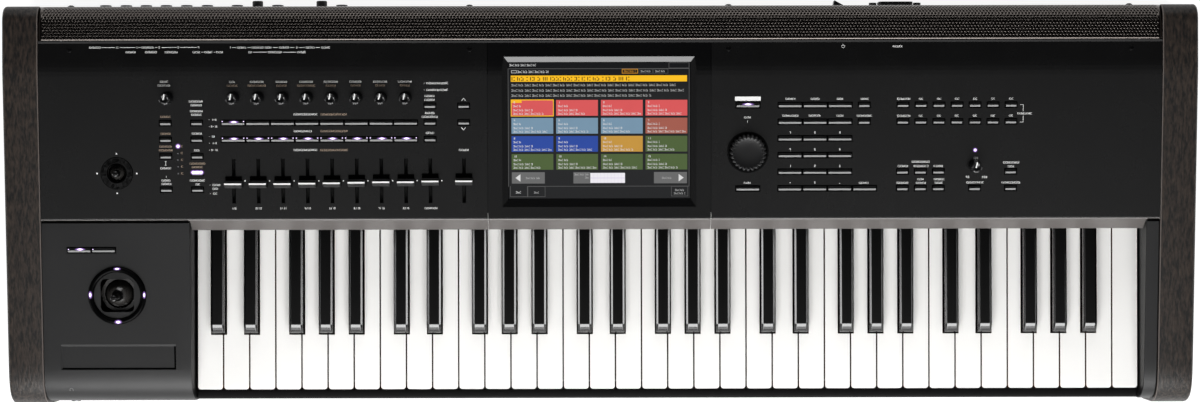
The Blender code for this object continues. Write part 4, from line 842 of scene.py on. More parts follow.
def words(bm, x, v, width, height=PRINT_HEIGHT):
    """A word of a given width, its middle at x and v."""
    for box in strokes(x - width / 2, x + width / 2, v - height / 2, height):
        bar(bm, *box)


def line(bm, left, right, v, width=0.35):
    bar(bm, left, v - width / 2, right, v + width / 2)


def dot(bm, x, v, size=0.9):
    bar(bm, x - size / 2, v - size / 2, x + size / 2, v + size / 2)


def stroke(bm, start, end, width=0.4):
    """A slanting line between two points."""
    run = Vector(end) - Vector(start)
    single = bmesh.new()
    block(single, (0, -width / 2000, 0), (run.length / 1000, width / 2000, PRINT_RISE))
    add(bm, new_mesh(single), at(start[0] / 1000, start[1] / 1000, 0, math.atan2(run.y, run.x)))


def digits(bm, text, x, v, height=1.9, width=1.15, weight=0.34):
    """Plain digits, drawn with up to seven bars each, centred on x and v."""
    shapes = {"0": "abcdef", "1": "bc", "2": "abged", "3": "abgcd", "4": "fgbc", "5": "afgcd", "6": "afgedc",
              "7": "abc", "8": "abcdefg", "9": "abcdfg", "-": "g"}
    step = width + 0.55
    left = x - (len(text) * step - 0.55) / 2
    half = height / 2
    for character in text:
        right = left + width
        bars = {"a": (left, v + half - weight, right, v + half),
                "d": (left, v - half, right, v - half + weight),
                "g": (left, v - weight / 2, right, v + weight / 2), "b": (right - weight, v, right, v + half),
                "c": (right - weight, v - half, right, v), "e": (left, v - half, left + weight, v),
                "f": (left, v, left + weight, v + half)}
        if character == ".":
            dot(bm, left + width / 2, v - half + 0.3, 0.6)
        elif character == "/":
            stroke(bm, (left + 0.2, v - half), (right - 0.2, v + half), 0.3)
        for name in shapes.get(character, ""):
            bar(bm, *bars[name])
        left += step


white, tan = bmesh.new(), bmesh.new()
# left of the mixer
for x, v, width in ((-383.4, 122.7, 7.0), (-383.4, 119.4, 11.2), (-383.1, 46.4, 9.5), (-383.0, 35.6, 8.0),
                    (-382.6, 32.5, 8.8), (-355.7, 105.3, 12.3), (-355.3, 102.0, 9.9), (-355.3, 96.7, 11.4),
                    (-355.4, 93.6, 9.2), (-355.2, 77.0, 8.8), (-355.4, 62.2, 4.8), (-355.4, 35.5, 13.2),
                    (-355.1, 32.1, 3.7), (-338.6, 31.5, 6.9), (-339.6, 28.2, 5.0), (-339.9, 23.9, 3.6)):
    words(white, x, v, width)
for x, v, width in ((-382.7, 91.8, 9.2), (-382.7, 76.9, 8.8), (-382.8, 65.6, 11.2), (-382.7, 62.3, 12.2),
                    (-355.0, 50.5, 14.1), (-355.4, 47.3, 9.4)):
    words(tan, x, v, width)
stroke(white, (-383.2, 52.4), (-383.2, 49.0), 0.3)
line(white, -384.0, -382.4, 52.4, 0.3)
line(white, -384.0, -382.4, 49.0, 0.3)
stroke(white, (-382.9, 39.5), (-382.9, 38.0), 0.3)
for v, text in ((89.1, "1-8"), (83.2, "9-16"), (68.4, "1-8"), (62.4, "9-16")):
    digits(white, text, -340.0, v, 1.7, 0.95, 0.3)
words(white, -340.7, 74.4, 2.6)
for v in (89.1, 83.2, 74.4, 68.4, 62.4, 31.5, 23.9):
    dot(white, -344.3, v, 0.5)
for number in range(5):
    words(tan, -368.7, 65.8 - 6.0 * number, 1.7)
# mixer
KNOB_WORDS = ((5.3, 9.5), (12.0, 16.0), (10.0, 9.0), (12.0, 15.5), (12.4, 8.8), (10.6, 8.8), (12.4, 8.8),
              (12.4, 8.8))
for channel, (upper, lower) in enumerate(KNOB_WORDS):
    x = -323.5 + 21.7 * channel
    words(white, x, 122.4, upper)
    words(tan, x, 119.1, lower)
    digits(white, f"{channel + 1}/{channel + 9}", x, 10.6, 1.8, 0.9, 0.3)
for x, v, width in ((-259.3, 93.8, 20.9), (-261.8, 78.9, 15.8), (-259.7, 62.3, 20.9), (-149.4, 10.6, 11.5),
                    (-143.3, 120.9, 19.0), (-143.3, 115.0, 19.0), (-150.0, 109.7, 9.0), (-150.0, 106.3, 9.0),
                    (-149.9, 94.7, 8.4), (-149.9, 91.4, 14.5), (-149.9, 77.1, 7.2), (-120.2, 62.0, 8.8)):
    words(white, x, v, width)
for x, v, width in ((-234.5, 93.7, 23.1), (-234.3, 78.9, 24.0), (-234.6, 62.2, 24.5)):
    words(tan, x, v, width)
for number in range(9):
    dot(white, -313.5 + 21.7 * number, 35.0, 1.0)
for v in (120.9, 115.0):
    dot(white, -154.8, v, 0.5)
for x, v, rise in ((-120.3, 106.5, 2.2), (-120.5, 80.8, -2.2)):
    stroke(white, (x - 1.8, v - rise / 2), (x, v + rise / 2))
    stroke(white, (x, v + rise / 2), (x + 1.8, v - rise / 2))
# vector stick
for x, v in ((-426.5, 59.3), (-426.4, 24.4), (-443.9, 41.9), (-408.9, 41.8)):
    dot(white, x, v, 1.3)
# right of the display
bar(white, 118.5, 104.9, 141.2, 108.6)
for x, v, width in ((129.8, 90.3, 6.2), (129.7, 32.4, 6.2), (167.5, 106.5, 8.8), (189.1, 106.5, 7.8),
                    (211.0, 106.4, 5.5),
                    (232.8, 106.4, 7.0), (167.5, 91.7, 14.3), (188.9, 91.7, 10.6), (211.1, 91.6, 6.2),
                    (232.5, 91.5, 13.2),
                    (232.5, 32.2, 8.8), (267.1, 106.3, 11.8), (267.3, 91.4, 11.8), (373.5, 93.3, 12.8),
                    (282.6, 50.8, 15.9), (266.9, 47.0, 9.1), (282.7, 47.0, 9.5), (299.0, 47.0, 6.5),
                    (282.5, 35.3, 5.7),
                    (298.8, 35.3, 9.3), (266.7, 32.2, 10.3), (282.8, 32.1, 8.8), (298.6, 32.1, 7.1),
                    (330.6, 32.4, 15.3),
                    (362.3, 50.0, 14.4), (362.1, 46.6, 5.6), (362.3, 32.3, 16.7)):
    words(white, x, v, width)
stroke(white, (129.6, 87.6), (129.6, 85.6), 0.3)
for bank in range(1, 7):
    for v in (106.3, 91.4):
        words(white, 266.4 + 15.85 * bank, v, 3.6)
for text, x, v in (("7", 167.2, 76.8), ("8", 189.0, 76.8), ("9", 211.0, 76.8), ("4", 167.2, 62.0),
                   ("5", 189.0, 62.0),
                   ("6", 211.0, 62.0), ("1", 167.2, 47.2), ("2", 189.0, 47.2), ("3", 211.0, 47.2),
                   ("-", 167.4, 32.4),
                   ("0", 189.1, 32.4), (".", 211.0, 32.4), ("120", 330.6, 54.0), ("40", 323.8, 37.2),
                   ("300", 338.8, 37.1)):
    digits(white, text, x, v)
stroke(white, (372.2, 85.7), (372.2, 91.3), 0.35)
stroke(white, (372.2, 95.2), (372.2, 101.0), 0.35)
line(white, 369.4, 372.4, 85.7)
line(white, 369.4, 372.4, 101.0)
for x, lean in ((276.6, -1), (294.2, -1), (288.8, 1)):
    stroke(white, (x - lean * 0.5, 47.9), (x + lean * 0.5, 47.0), 0.35)
    stroke(white, (x + lean * 0.5, 47.0), (x - lean * 0.5, 46.1), 0.35)
print_place = deck_place @ Matrix.Translation((0, 0, 0.00001))
piece("white_legends", new_mesh(white), ink_white, place=print_place)
piece("tan_legends", new_mesh(tan), ink_tan, place=print_place)

# names of the rear sockets, printed on the level strip above them
rear_print = bmesh.new()
for x, y, width in ((-443.7, 136.2, 10.5), (-397.4, 136.2, 11.0), (-315.0, 136.0, 8.2), (-300.9, 136.0, 10.5),
                    (-291.6, 136.0, 5.9), (-277.6, 136.0, 8.8), (-254.5, 135.9, 7.9), (-241.2, 135.9, 7.6),
                    (-412.4, 132.1, 8.8), (-394.5, 132.1, 10.5), (-376.7, 132.0, 11.4), (-354.9, 132.0, 6.2),
                    (-344.2, 132.0, 7.0), (-334.2, 132.0, 6.0), (-307.4, 131.9, 2.9), (-285.7, 131.9, 12.3),
                    (-262.3, 131.8, 7.3), (-424.1, 136.2, 1.7), (261.5, 135.9, 8.6)):
    words(rear_print, x, y, width)
for left, right, y in ((-438.0, -426.3, 136.2), (-422.2, -408.5, 136.2), (-405.8, -403.6, 136.2),
                       (-391.2, -389.0, 136.2),
                       (-385.3, -372.1, 136.2), (-369.2, -354.5, 136.2), (-323.5, -320.2, 136.0),
                       (-309.9, -307.0, 136.0),
                       (-287.5, -283.1, 136.0), (-272.5, -268.8, 135.9), (-264.9, -259.4, 135.9),
                       (-249.9, -246.2, 135.9),
                       (-350.8, -348.6, 132.0), (-339.6, -338.2, 132.0), (-305.1, -293.0, 131.9),
                       (-278.7, -267.0, 131.8)):
    line(rear_print, left, right, y)
for text, x, y in (("1", -407.4, 136.2), ("2", -387.4, 136.2), ("3", -370.7, 136.2), ("4", -352.9, 136.2),
                   ("1", -325.3, 136.1), ("2", -266.6, 135.9)):
    digits(rear_print, text, x, y)
ring_place = at(0.2136, 0.1360)
add(rear_print,
    turned([(0.0011, PRINT_RISE), (0.0014, PRINT_RISE), (0.0014, 0), (0.0011, 0)], 24, ring=True), ring_place)
stroke(rear_print, (213.6, 136.2), (213.6, 138.0), 0.3)
piece("rear_legends", new_mesh(rear_print), ink_white, place=at(0, 0, deck_height(0.134) + 0.00001))

# Vent strip
# Perforated steel behind the deck, rolled over into the rear wall, with a black sheet below it as painted
# shade.

VENT_FRONT_Y, VENT_RADIUS = 0.1424, 0.0170
HOLE_PITCH, HOLE_RADIUS = 0.00295, 0.00110
VENT_HALF = 0.4941


def vent_point(x, along):
    """A point on the strip's outer face: level first, then round the roll and down."""
    level = REAR_Y - VENT_RADIUS - VENT_FRONT_Y
    top = deck_height(REAR_Y) - 0.0002
    if along < level:
        return x, VENT_FRONT_Y + along, top
    angle = min((along - level) / VENT_RADIUS, math.pi / 2)
    past = max(along - level - VENT_RADIUS * math.pi / 2, 0.0)
    return (x, REAR_Y - VENT_RADIUS + VENT_RADIUS * math.sin(angle),
            top - VENT_RADIUS + VENT_RADIUS * math.cos(angle) - past)


def perforated():
    """The strip as one surface: staggered six-sided cells, each with its hole, and plain edges."""
    bm = bmesh.new()
    row_step = HOLE_PITCH * math.sqrt(3) / 2
    margin = 0.0014
    length = REAR_Y - VENT_RADIUS - VENT_FRONT_Y + VENT_RADIUS * math.pi / 2
    rows = int((length - 2 * margin) / row_step)
    columns = int((2 * VENT_HALF - 4 * margin) / HOLE_PITCH)
    first = -columns * HOLE_PITCH / 2
    seen = {}

    def vert(x, along):
        key = (round(x, 6), round(along, 6))
        if key not in seen:
            seen[key] = bm.verts.new(vent_point(x, along))
        return seen[key]

    for row in range(rows):
        front = margin + row * row_step
        for column in range(columns - row % 2):
            left = first + (column + 0.5 * (row % 2)) * HOLE_PITCH
            centre = (left + HOLE_PITCH / 2, front + row_step / 2)
            rim = [vert(left + HOLE_PITCH * across, front + row_step * up)
                   for across, up in ((0, 0), (0.5, 0), (1, 0), (1, 1), (0.5, 1), (0, 1))]
            hole = [bm.verts.new(vent_point(centre[0] + HOLE_RADIUS * math.cos(angle),
                                            centre[1] + HOLE_RADIUS * math.sin(angle)))
                    for angle in (math.radians(-150 + 60 * number) for number in range(6))]
            for number in range(6):
                beyond = (number + 1) % 6
                bm.faces.new((rim[number], rim[beyond], hole[beyond], hole[number]))
        # Plain metal lies beyond the last cells, out to the strip's ends.
        shift = 0.5 * (row % 2) * HOLE_PITCH
        for side in (-1, 1):
            inner, outer = side * (abs(first) - shift), side * VENT_HALF
            xs = [inner] + ([inner + side * HOLE_PITCH / 2] if row % 2 else []) + [outer]
            bm.faces.new([vert(x, front) for x in xs] + [vert(x, front + row_step) for x in reversed(xs)])
    for edge, end in ((margin, 0.0), (margin + rows * row_step, length)):
        xs = sorted(x for x, along in seen if abs(along - edge) < 1e-6)
        for left, right in zip(xs, xs[1:]):
            bm.faces.new((vert(left, edge), vert(right, edge), vert(right, end), vert(left, end)))
    bmesh.ops.recalc_face_normals(bm, faces=bm.faces)
    if sum(face.normal.z for face in bm.faces) < 0:
        bmesh.ops.reverse_faces(bm, faces=bm.faces)
    return new_mesh(bm)


vent_lacquer = finish("vent lacquer", (0.090, 0.080, 0.074), 0.19, grain=2000.0, metallic=1.0)
vent = piece("vent_strip", perforated(), vent_lacquer, slot="panel_paint", stands_for="rear_grille",
             smooth=60)
sheet = vent.modifiers.new("sheet thickness", "SOLIDIFY")
sheet.thickness = 0.0009
sheet.offset = -1

# A thin lighter rail along the deck's rear edge: painted highlight of the edge.
rear_highlight_z = deck_height(0.14)
rear_highlight = boxes(((-VENT_HALF, 0.1398, rear_highlight_z - 0.0002), (VENT_HALF, 0.1417, rear_highlight_z + 0.00012)))
piece("deck_rear_highlight", rear_highlight, finish("deck rear edge, painted highlight", (0.018, 0.0178, 0.0178), 0.6))

# A black sheet just under the strip: painted shade seen through the holes.
level = REAR_Y - VENT_RADIUS - VENT_FRONT_Y
centre = Vector((REAR_Y - VENT_RADIUS, deck_height(REAR_Y) - 0.0002 - VENT_RADIUS))
upper, lower = [], []
for step in range(13):
    point = Vector(vent_point(0, 0.001 + (level + VENT_RADIUS * math.pi / 2 - 0.002) * step / 12)[1:])
    outwards = Vector((0, 1)) if point.x < centre.x else (point - centre).normalized()
    upper.append(tuple(point - outwards * 0.0030))
    lower.append(tuple(point - outwards * 0.0036))
piece("vent_shade_sheet", side_mesh(upper + lower[::-1], -0.493, 0.493), hollow_black_and_shade)

# Cheeks
# End panels of dark brown wood, open grained along their length, with rounded noses and eased edges.


def make_open_grain():
    """Open grain: long dark streaks and fine pores that run along Y."""
    group, given, result = new_group(
        "open wood grain",
        [("Light", "Color", (0.06, 0.05, 0.045, 1)), ("Dark", "Color", (0.02, 0.016, 0.014, 1)),
         ("Streak Scale", "Float", 430.0), ("Pore Scale", "Float", 700.0)],
        [("Colour", "Color"), ("Roughness", "Float"), ("Height", "Float")])
    place = group.nodes.new("ShaderNodeTexCoord").outputs["Object"]
    streaks = noise(group, place, given["Streak Scale"], 4.0, (1.0, 0.22, 1.0))
    pores = noise(group, place, given["Pore Scale"], 2.0, (1.0, 0.30, 1.0))
    both = sum_of(group, "ADD", sum_of(group, "MULTIPLY", streaks, 0.6),
                  sum_of(group, "MULTIPLY", pores, 0.4))
    spread = group.nodes.new("ShaderNodeMapRange")
    spread.inputs["From Min"].default_value = 0.40
    spread.inputs["From Max"].default_value = 0.64
    group.links.new(both, spread.inputs["Value"])
    lightness = spread.outputs[0]
    group.links.new(blend(group, lightness, given["Dark"], given["Light"]), result["Colour"])
    group.links.new(sum_of(group, "MULTIPLY_ADD", lightness, -0.10, 0.50), result["Roughness"])
    group.links.new(lightness, result["Height"])
    return group


wood, tree, shader = new_material("dark open-grained wood")
grain = use_group(tree, make_open_grain(), light=(0.034, 0.0245, 0.0190, 1), dark=(0.0012, 0.0008, 0.0006, 1))
shader.inputs["Specular IOR Level"].default_value = 0.36
tree.links.new(grain["Colour"], shader.inputs["Base Color"])
tree.links.new(grain["Roughness"], shader.inputs["Roughness"])
tree.links.new(bump(tree, grain["Height"], 0.00010), shader.inputs["Normal"])
# The narrow bevel on each cheek's inner edge is painted lighter: painted highlight.
cheek_edge_highlight = finish("cheek inner edge, painted highlight", (0.085, 0.070, 0.062), 0.5, mottle=0.5, mottle_scale=60.0)

CHEEK_INNER, CHEEK_OUTER, CHEEK_PROUD = 0.4946, 0.5260, 0.0008
rear_arc = [(REAR_Y - 0.014 * (1 - math.sin(angle)),
             deck_height(REAR_Y) + CHEEK_PROUD - 0.013 * (1 - math.cos(angle)))
            for angle in (math.pi / 2 * step / 10 for step in range(11))]
cheek_outline = [(-0.177, 0.0105), (REAR_Y, 0.0105), *reversed(rear_arc)]
cheek_outline += [(y, deck_height(y) + CHEEK_PROUD) for y in (0.123, 0.119, 0.115, 0.111)]
cheek_outline += block_outline(-0.181, CHEEK_PROUD, 0.0, 0.018)[2:]
for side, name in ((-1, "left"), (1, "right")):
    bm = bmesh.new()
    side_slab(bm, cheek_outline, *sorted((side * CHEEK_INNER, side * CHEEK_OUTER)))
    for x, width, steps in ((side * CHEEK_OUTER, 0.0030, 4), (side * CHEEK_INNER, 0.0008, 1)):
        rim = [edge for edge in bm.edges if all(abs(vert.co.x - x) < 1e-5 for vert in edge.verts)]
        eased = bmesh.ops.bevel(bm, geom=rim, offset=width, segments=steps, affect="EDGES", profile=0.5)
        for face in eased["faces"]:
            face.material_index = int(x == side * CHEEK_INNER)
    piece(name + "_end_panel", new_mesh(bm), [wood, cheek_edge_highlight], slot="cheek_finish",
          stands_for=name + "_cheek",
          smooth=40)

# Push buttons
# Black caps on rubber mats, each with a pale front edge that is a painted highlight, pressed as groups. A lit
# cap glows violet white at its middle and at its corners.

SMALL_CAP, WIDE_CAP = 0.0092, 0.0199
SWITCH_X, SWITCH_V, SWITCH_DROP = (-0.4612, -0.4396), -0.0273, 0.0010
CAP_FRONT, CAP_REAR, CAP_BEVEL, CAP_TOP = -0.0010, 0.0029, 0.0018, 0.0012

cap_black = finish("cap black", (0.0015, 0.0015, 0.0017), 0.35, grain=2400.0, depth=0.00002, sheen_level=0.18)
cap_edge_highlight = finish("cap edge, painted highlight", (0.21, 0.21, 0.21), 0.34, grain=2400.0, depth=0.00001, mottle=0.1)


def caps(columns, rows, width):
    return [(x, ROW_V[row], width) for row in rows for x in columns]


groups = {
    "left_buttons": caps([LEFT_X], (1, 2, 3, 5), SMALL_CAP) + caps([SECOND_X], (1, 2, 3, 4, 5), SMALL_CAP),
    "mixer_buttons": caps(MIXER_X, (1, 2), WIDE_CAP) + caps([MASTER_X], (0, 1, 2), SMALL_CAP)
    + caps([VALUE_X], (0, 1), SMALL_CAP),
    "mode_and_keypad_buttons": caps([DIAL_X], (0, 5), WIDE_CAP) + caps(MODE_X[:3], range(5), WIDE_CAP)
    + caps(MODE_X, [5], WIDE_CAP) + caps([HELP_X], (0, 1), SMALL_CAP),
    "bank_and_sequencer_buttons": caps(BANK_X, (0, 1), SMALL_CAP) + caps(BANK_X[:3], (4, 5), SMALL_CAP)
    + caps([SAMPLING_X], (4, 5), SMALL_CAP) + caps([TEMPO_X], [5], SMALL_CAP),
    "switch_buttons": [(x, SWITCH_V, WIDE_CAP) for x in SWITCH_X]}


def cap(bm, x, v, width, lift):
    """A cap whose sloping front edge takes the second material, a painted highlight, on a wider foot."""
    top = CAP_TOP + lift
    section = [(CAP_FRONT, -0.0034), (CAP_REAR, -0.0034), (CAP_REAR, top - 0.0003), (CAP_REAR - 0.0003, top),
               (CAP_FRONT + CAP_BEVEL, top), (CAP_FRONT + 0.0001, lift - 0.0003)]
    for face in swept(bm, [(x - width / 2, v + dv, w) for dv, w in section], (width, 0, 0)):
        face.normal_update()
        face.material_index = int(face.normal.y < -0.3 and face.normal.z > 0.3)
    block(bm, (x - width / 2 - 0.0005, v + CAP_FRONT - 0.0003, -0.0044),
          (x + width / 2 + 0.0005, v + CAP_REAR + 0.0003, -0.0032))


def surround(x, v, width, lift):
    """Painted shade in the gap round a cap: four flat dark bars."""
    left, right = x - width / 2 - 0.0001, x + width / 2 + 0.0001
    front, rear = v + CAP_FRONT - 0.0001, v + CAP_REAR + 0.0001
    sides = ((left - 0.0010, front - 0.0008, right + 0.0010, front),
             (left - 0.0010, rear, right + 0.0010, rear + 0.0009),
             (left - 0.0010, front, left, rear), (right, front, right + 0.0010, rear))
    return [((a, b, lift - 0.0002), (c, d, lift + 0.0001)) for a, b, c, d in sides]


gap_shades = []
for group, places in groups.items():
    lift = -SWITCH_DROP if group == "switch_buttons" else 0.0
    bm = bmesh.new()
    for x, v, width in places:
        cap(bm, x, v, width, lift)
        gap_shades += surround(x, v, width, lift)
    piece(group + "_caps", new_mesh(bm), [cap_black, cap_edge_highlight], group, "button_cap", group, deck_place,
          0.00018)
piece("button_gap_shade", boxes(*gap_shades), hollow_black_and_shade, place=deck_place)

# Indicator lights
# Diodes under the caps and in the deck. A lit one shines violet white and spreads over its cap; the
# others are small clear dots.


def glow_material(name, colour, strength):
    """Light that fades from the middle of each spot to nothing at its rim."""
    material, tree, shader = new_material(name)
    shader.inputs["Base Color"].default_value = (0.02, 0.02, 0.02, 1)
    shader.inputs["Roughness"].default_value = 0.4
    shader.inputs["Emission Strength"].default_value = strength
    fade = tree.nodes.new("ShaderNodeAttribute")
    fade.attribute_name = "glow"
    whiteness = sum_of(tree, "POWER", fade.outputs["Fac"], 2.0)
    tree.links.new(blend(tree, whiteness, (*colour, 1), (1, 0.97, 1, 1)), shader.inputs["Emission Color"])
    tree.links.new(sum_of(tree, "POWER", fade.outputs["Fac"], 1.1), shader.inputs["Alpha"])
    return material


def spot(bm, x, v, w, half_x, half_v, lift=0.00006):
    """A small pillow of light, brightest at its middle."""
    layer = bm.verts.layers.float.get("glow") or bm.verts.layers.float.new("glow")

    def lit_vert(x, v, w, brightness):
        vert = bm.verts.new((x, v, w))
        vert[layer] = brightness
        return vert

    rings = [[lit_vert(x + half_x * share * math.cos(angle), v + half_v * share * math.sin(angle), w + height,
                       brightness) for angle in (2 * math.pi * step / 16 for step in range(16))]
             for share, brightness, height in ((1.0, 0.0, 0.0), (0.60, 0.22, lift * 0.7), (0.32, 0.90, lift))]
    top = lit_vert(x, v, w + lift, 1.0)
    low = lit_vert(x, v, w, 0.0)
    for step in range(16):
        beyond = (step + 1) % 16
        bm.faces.new((rings[0][step], rings[0][beyond], rings[1][beyond], rings[1][step]))
        bm.faces.new((rings[1][step], rings[1][beyond], rings[2][beyond], rings[2][step]))
        bm.faces.new((rings[2][step], rings[2][beyond], top))
        bm.faces.new((rings[0][beyond], rings[0][step], low))


violet = glow_material("violet-white light", (0.55, 0.30, 0.95), 3.2)
cap_face = CAP_TOP + 0.00003
cap_middle = (CAP_FRONT + CAP_BEVEL + CAP_REAR) / 2


def lights(name, spots, *body):
    bm = bmesh.new()
    for given in spots:
        spot(bm, *given)
    piece(name, new_mesh(bm), violet, *body, place=deck_place)


mixer_spots = []
for channel, row in [(0, 1)] + [(channel, 2) for channel in range(8)]:
    x, v = MIXER_X[channel], ROW_V[row] + cap_middle
    mixer_spots += [(x + 0.0008, v, cap_face, 0.0050, 0.0011),
                    (x + 0.0008, v, cap_face + 0.00003, 0.0022, 0.0012)]
    mixer_spots += [(x + side * 0.0094, v + 0.0005, cap_face, 0.0008, 0.0006) for side in (-1, 1)]
lights("mixer_lights", mixer_spots, "mixer_buttons")
lights("left_lights", [(SECOND_X + x, ROW_V[4] + cap_middle - 0.0002, cap_face, half, 0.0024)
                       for x, half in ((-0.0034, 0.0030), (0.0, 0.0046), (0.0034, 0.0030))], "left_buttons")
lights("mode_lights", [(DIAL_X, ROW_V[0] + cap_middle, cap_face, 0.0060, 0.0011),
                       (DIAL_X, ROW_V[0] + cap_middle, cap_face + 0.00003, 0.0024, 0.0012)],
       "mode_and_keypad_buttons")
switch_v, switch_face = SWITCH_V + cap_middle, cap_face - SWITCH_DROP
switch_spots = [(SWITCH_X[0] + 0.0010, switch_v, switch_face, 0.0052, 0.0012),
                (SWITCH_X[0] + 0.0010, switch_v, switch_face + 0.00003, 0.0024, 0.0013)]
switch_spots += [(x - 0.0092, switch_v, switch_face, 0.0008, 0.0006) for x in SWITCH_X]
lights("switch_lights", switch_spots, "switch_buttons")
lights("deck_lights", [(-0.3721, 0.0658, 0.0001, 0.0026, 0.0026), (-0.3721, 0.0658, 0.00012, 0.0014, 0.0014),
                       (0.3303, 0.0610, 0.0001, 0.0022, 0.0022), (0.3303, 0.0610, 0.00012, 0.0012, 0.0012)])

# Four glowing spots on the joystick ring at its compass points: painted highlights of the lamps.
ring_highlights = bmesh.new()
for dx, dv, half_x, half_v in ((0.0006, 0.0241, 0.0036, 0.0013), (0.0008, -0.0234, 0.0037, 0.0022),
                               (-0.0235, 0.0009, 0.0019, 0.0038), (0.0242, 0.0007, 0.0014, 0.0036)):
    spot(ring_highlights, dx, dv, 0.0, half_x, half_v)
for vert in ring_highlights.verts:
    off = (math.hypot(vert.co.x, vert.co.y) - RING_RADIUS) / RING_THICKNESS
    vert.co.z += 0.0026 * math.sqrt(max(0.0, 1 - off ** 2)) + 0.00004
piece("joystick_ring_highlights", new_mesh(ring_highlights), violet, place=joystick_place)
diode = turned([(0, 0.0004), (0.0004, 0.0003), (0.0006, 0.0), (0, 0.0)], 12)
piece("unlit_diodes", joined((diode, at(-0.3723, v)) for v in (0.0594, 0.0537, 0.0477, 0.0417)),
      finish("clear diode", (0.16, 0.16, 0.17), 0.25, depth=0.0), place=deck_place)

# Knobs
# Tapered knobs with a white pointer let into a dished top, the fluted value dial, and the tempo knob.

knob_gloss = finish("knob top", (0.003, 0.003, 0.0034), 0.14, grain=1500.0, depth=0.000004)
knob_profile = [(0, 0.0146), (0.0022, 0.0147), (0.0033, 0.0154), (0.0038, 0.0158), (0.0047, 0.0153),
                (0.0049, 0.0146), (0.0055, 0.0030), (0.0058, 0.0018), (0.0058, 0.0008), (0.0030, 0.0008),
                (0.0030, -0.0040), (0, -0.0040)]
knob_places = [("volume_knob", VOLUME_X, KNOB_V)]
knob_places += [(f"control_knob_{number + 1}", x, KNOB_V) for number, x in enumerate(MIXER_X)]
knob_places += [("tempo_knob", TEMPO_X, TEMPO_V)]
for name, x, v in knob_places:
    place = deck_place @ at(x, v)
    piece(name + "_body", fluted(knob_profile, 96, 16, 0.00035, 0.0028, 0.0153), knob_gloss, name,
          "knob_plastic", name, place, smooth=50)
    # The white pointer sits off the middle and leans, standing also for the dished top's highlight: partly
    # painted.
    pointer_and_highlight = boxes(((-0.00055, -0.0004, 0.0146), (0.00055, 0.0047, 0.01590)))
    piece(name + "_pointer_highlight", pointer_and_highlight, ink_white, name, place=place @ at(-0.0007, 0.0, 0.0, -0.20),
          bevel=0.0001)

DIAL_RADIUS, DIAL_NOTCHES, NOTCH_DEPTH, NOTCH_HALF = 0.0163, 24, 0.0016, 0.0009
dial_place = deck_place @ at(DIAL_X, DIAL_V)
dial_profile = [(0, 0.0076)]
dial_profile += [(DIAL_RADIUS * 0.78 * step / 8, 0.0076 + 0.0010 * (step / 8) ** 3) for step in range(1, 9)]
dial_profile += [(0.0140, 0.0090), (0.0148, 0.0090), (0.0156, 0.0084), (0.0161, 0.0070),
                 (DIAL_RADIUS, 0.0012),
                 (0.0030, 0.0010), (0.0030, -0.0040), (0, -0.0040)]


def notch(radius, angle, height):
    """The depth of the dial's finger notches, which are round in plan and only in its side."""
    turn = angle * DIAL_NOTCHES / (2 * math.pi) - 0.5
    off = abs(turn - round(turn)) * 2 * math.pi / DIAL_NOTCHES * radius
    return NOTCH_DEPTH * max(0.0, 1 - (off / NOTCH_HALF) ** 2) * (radius > 0.0138 and height > 0.0011)


dial_plastic = finish("dial plastic", (0.004, 0.004, 0.0043), 0.38, grain=2400.0, depth=0.00002,
                      sheen_level=0.36)
piece("dial_body", draw_in(turned(dial_profile, 144), notch), dial_plastic, "value_dial", "knob_plastic",
      "value_dial", dial_place, smooth=50)
# A flat black ring round the dial's foot and a dark disc under it: painted shade.
dial_ring_shade = turned([(0.0168, 0.0003), (0.0182, 0.0003), (0.0185, 0.0), (0.0168, 0.0)], 96, ring=True)
piece("dial_ring_shade", dial_ring_shade, matte_black_and_shade, place=dial_place)
dial_shade = turned([(0.0031, 0.00012), (0.0168, 0.00012), (0.0168, 0.0), (0.0031, 0.0)], 96, ring=True)
piece("dial_shade", dial_shade, hollow_black_and_shade, place=dial_place)

# Sliders
# Ten faders. The caps slope to a crest with a white line, on flat levers that come through slots.

SLOT = (0.0152, 0.0544)
SLIDER_REST_V = (0.0321, 0.0322, 0.0322, 0.0325, 0.0328, 0.0332, 0.0336, 0.0336, 0.0342, 0.0343)
slider_places = [(f"mix_slider_{number + 1}", x) for number, x in enumerate(MIXER_X)]
slider_places += [("master_slider", MASTER_X), ("value_slider", VALUE_X)]
slider_black = finish("slider cap", (0.003, 0.003, 0.0032), 0.34, grain=2400.0, depth=0.00002,
                      sheen_level=0.2)
slider_edge_highlight = finish("slider cap edge, painted highlight", (0.060, 0.060, 0.060), 0.45, grain=2400.0, depth=0.00001)
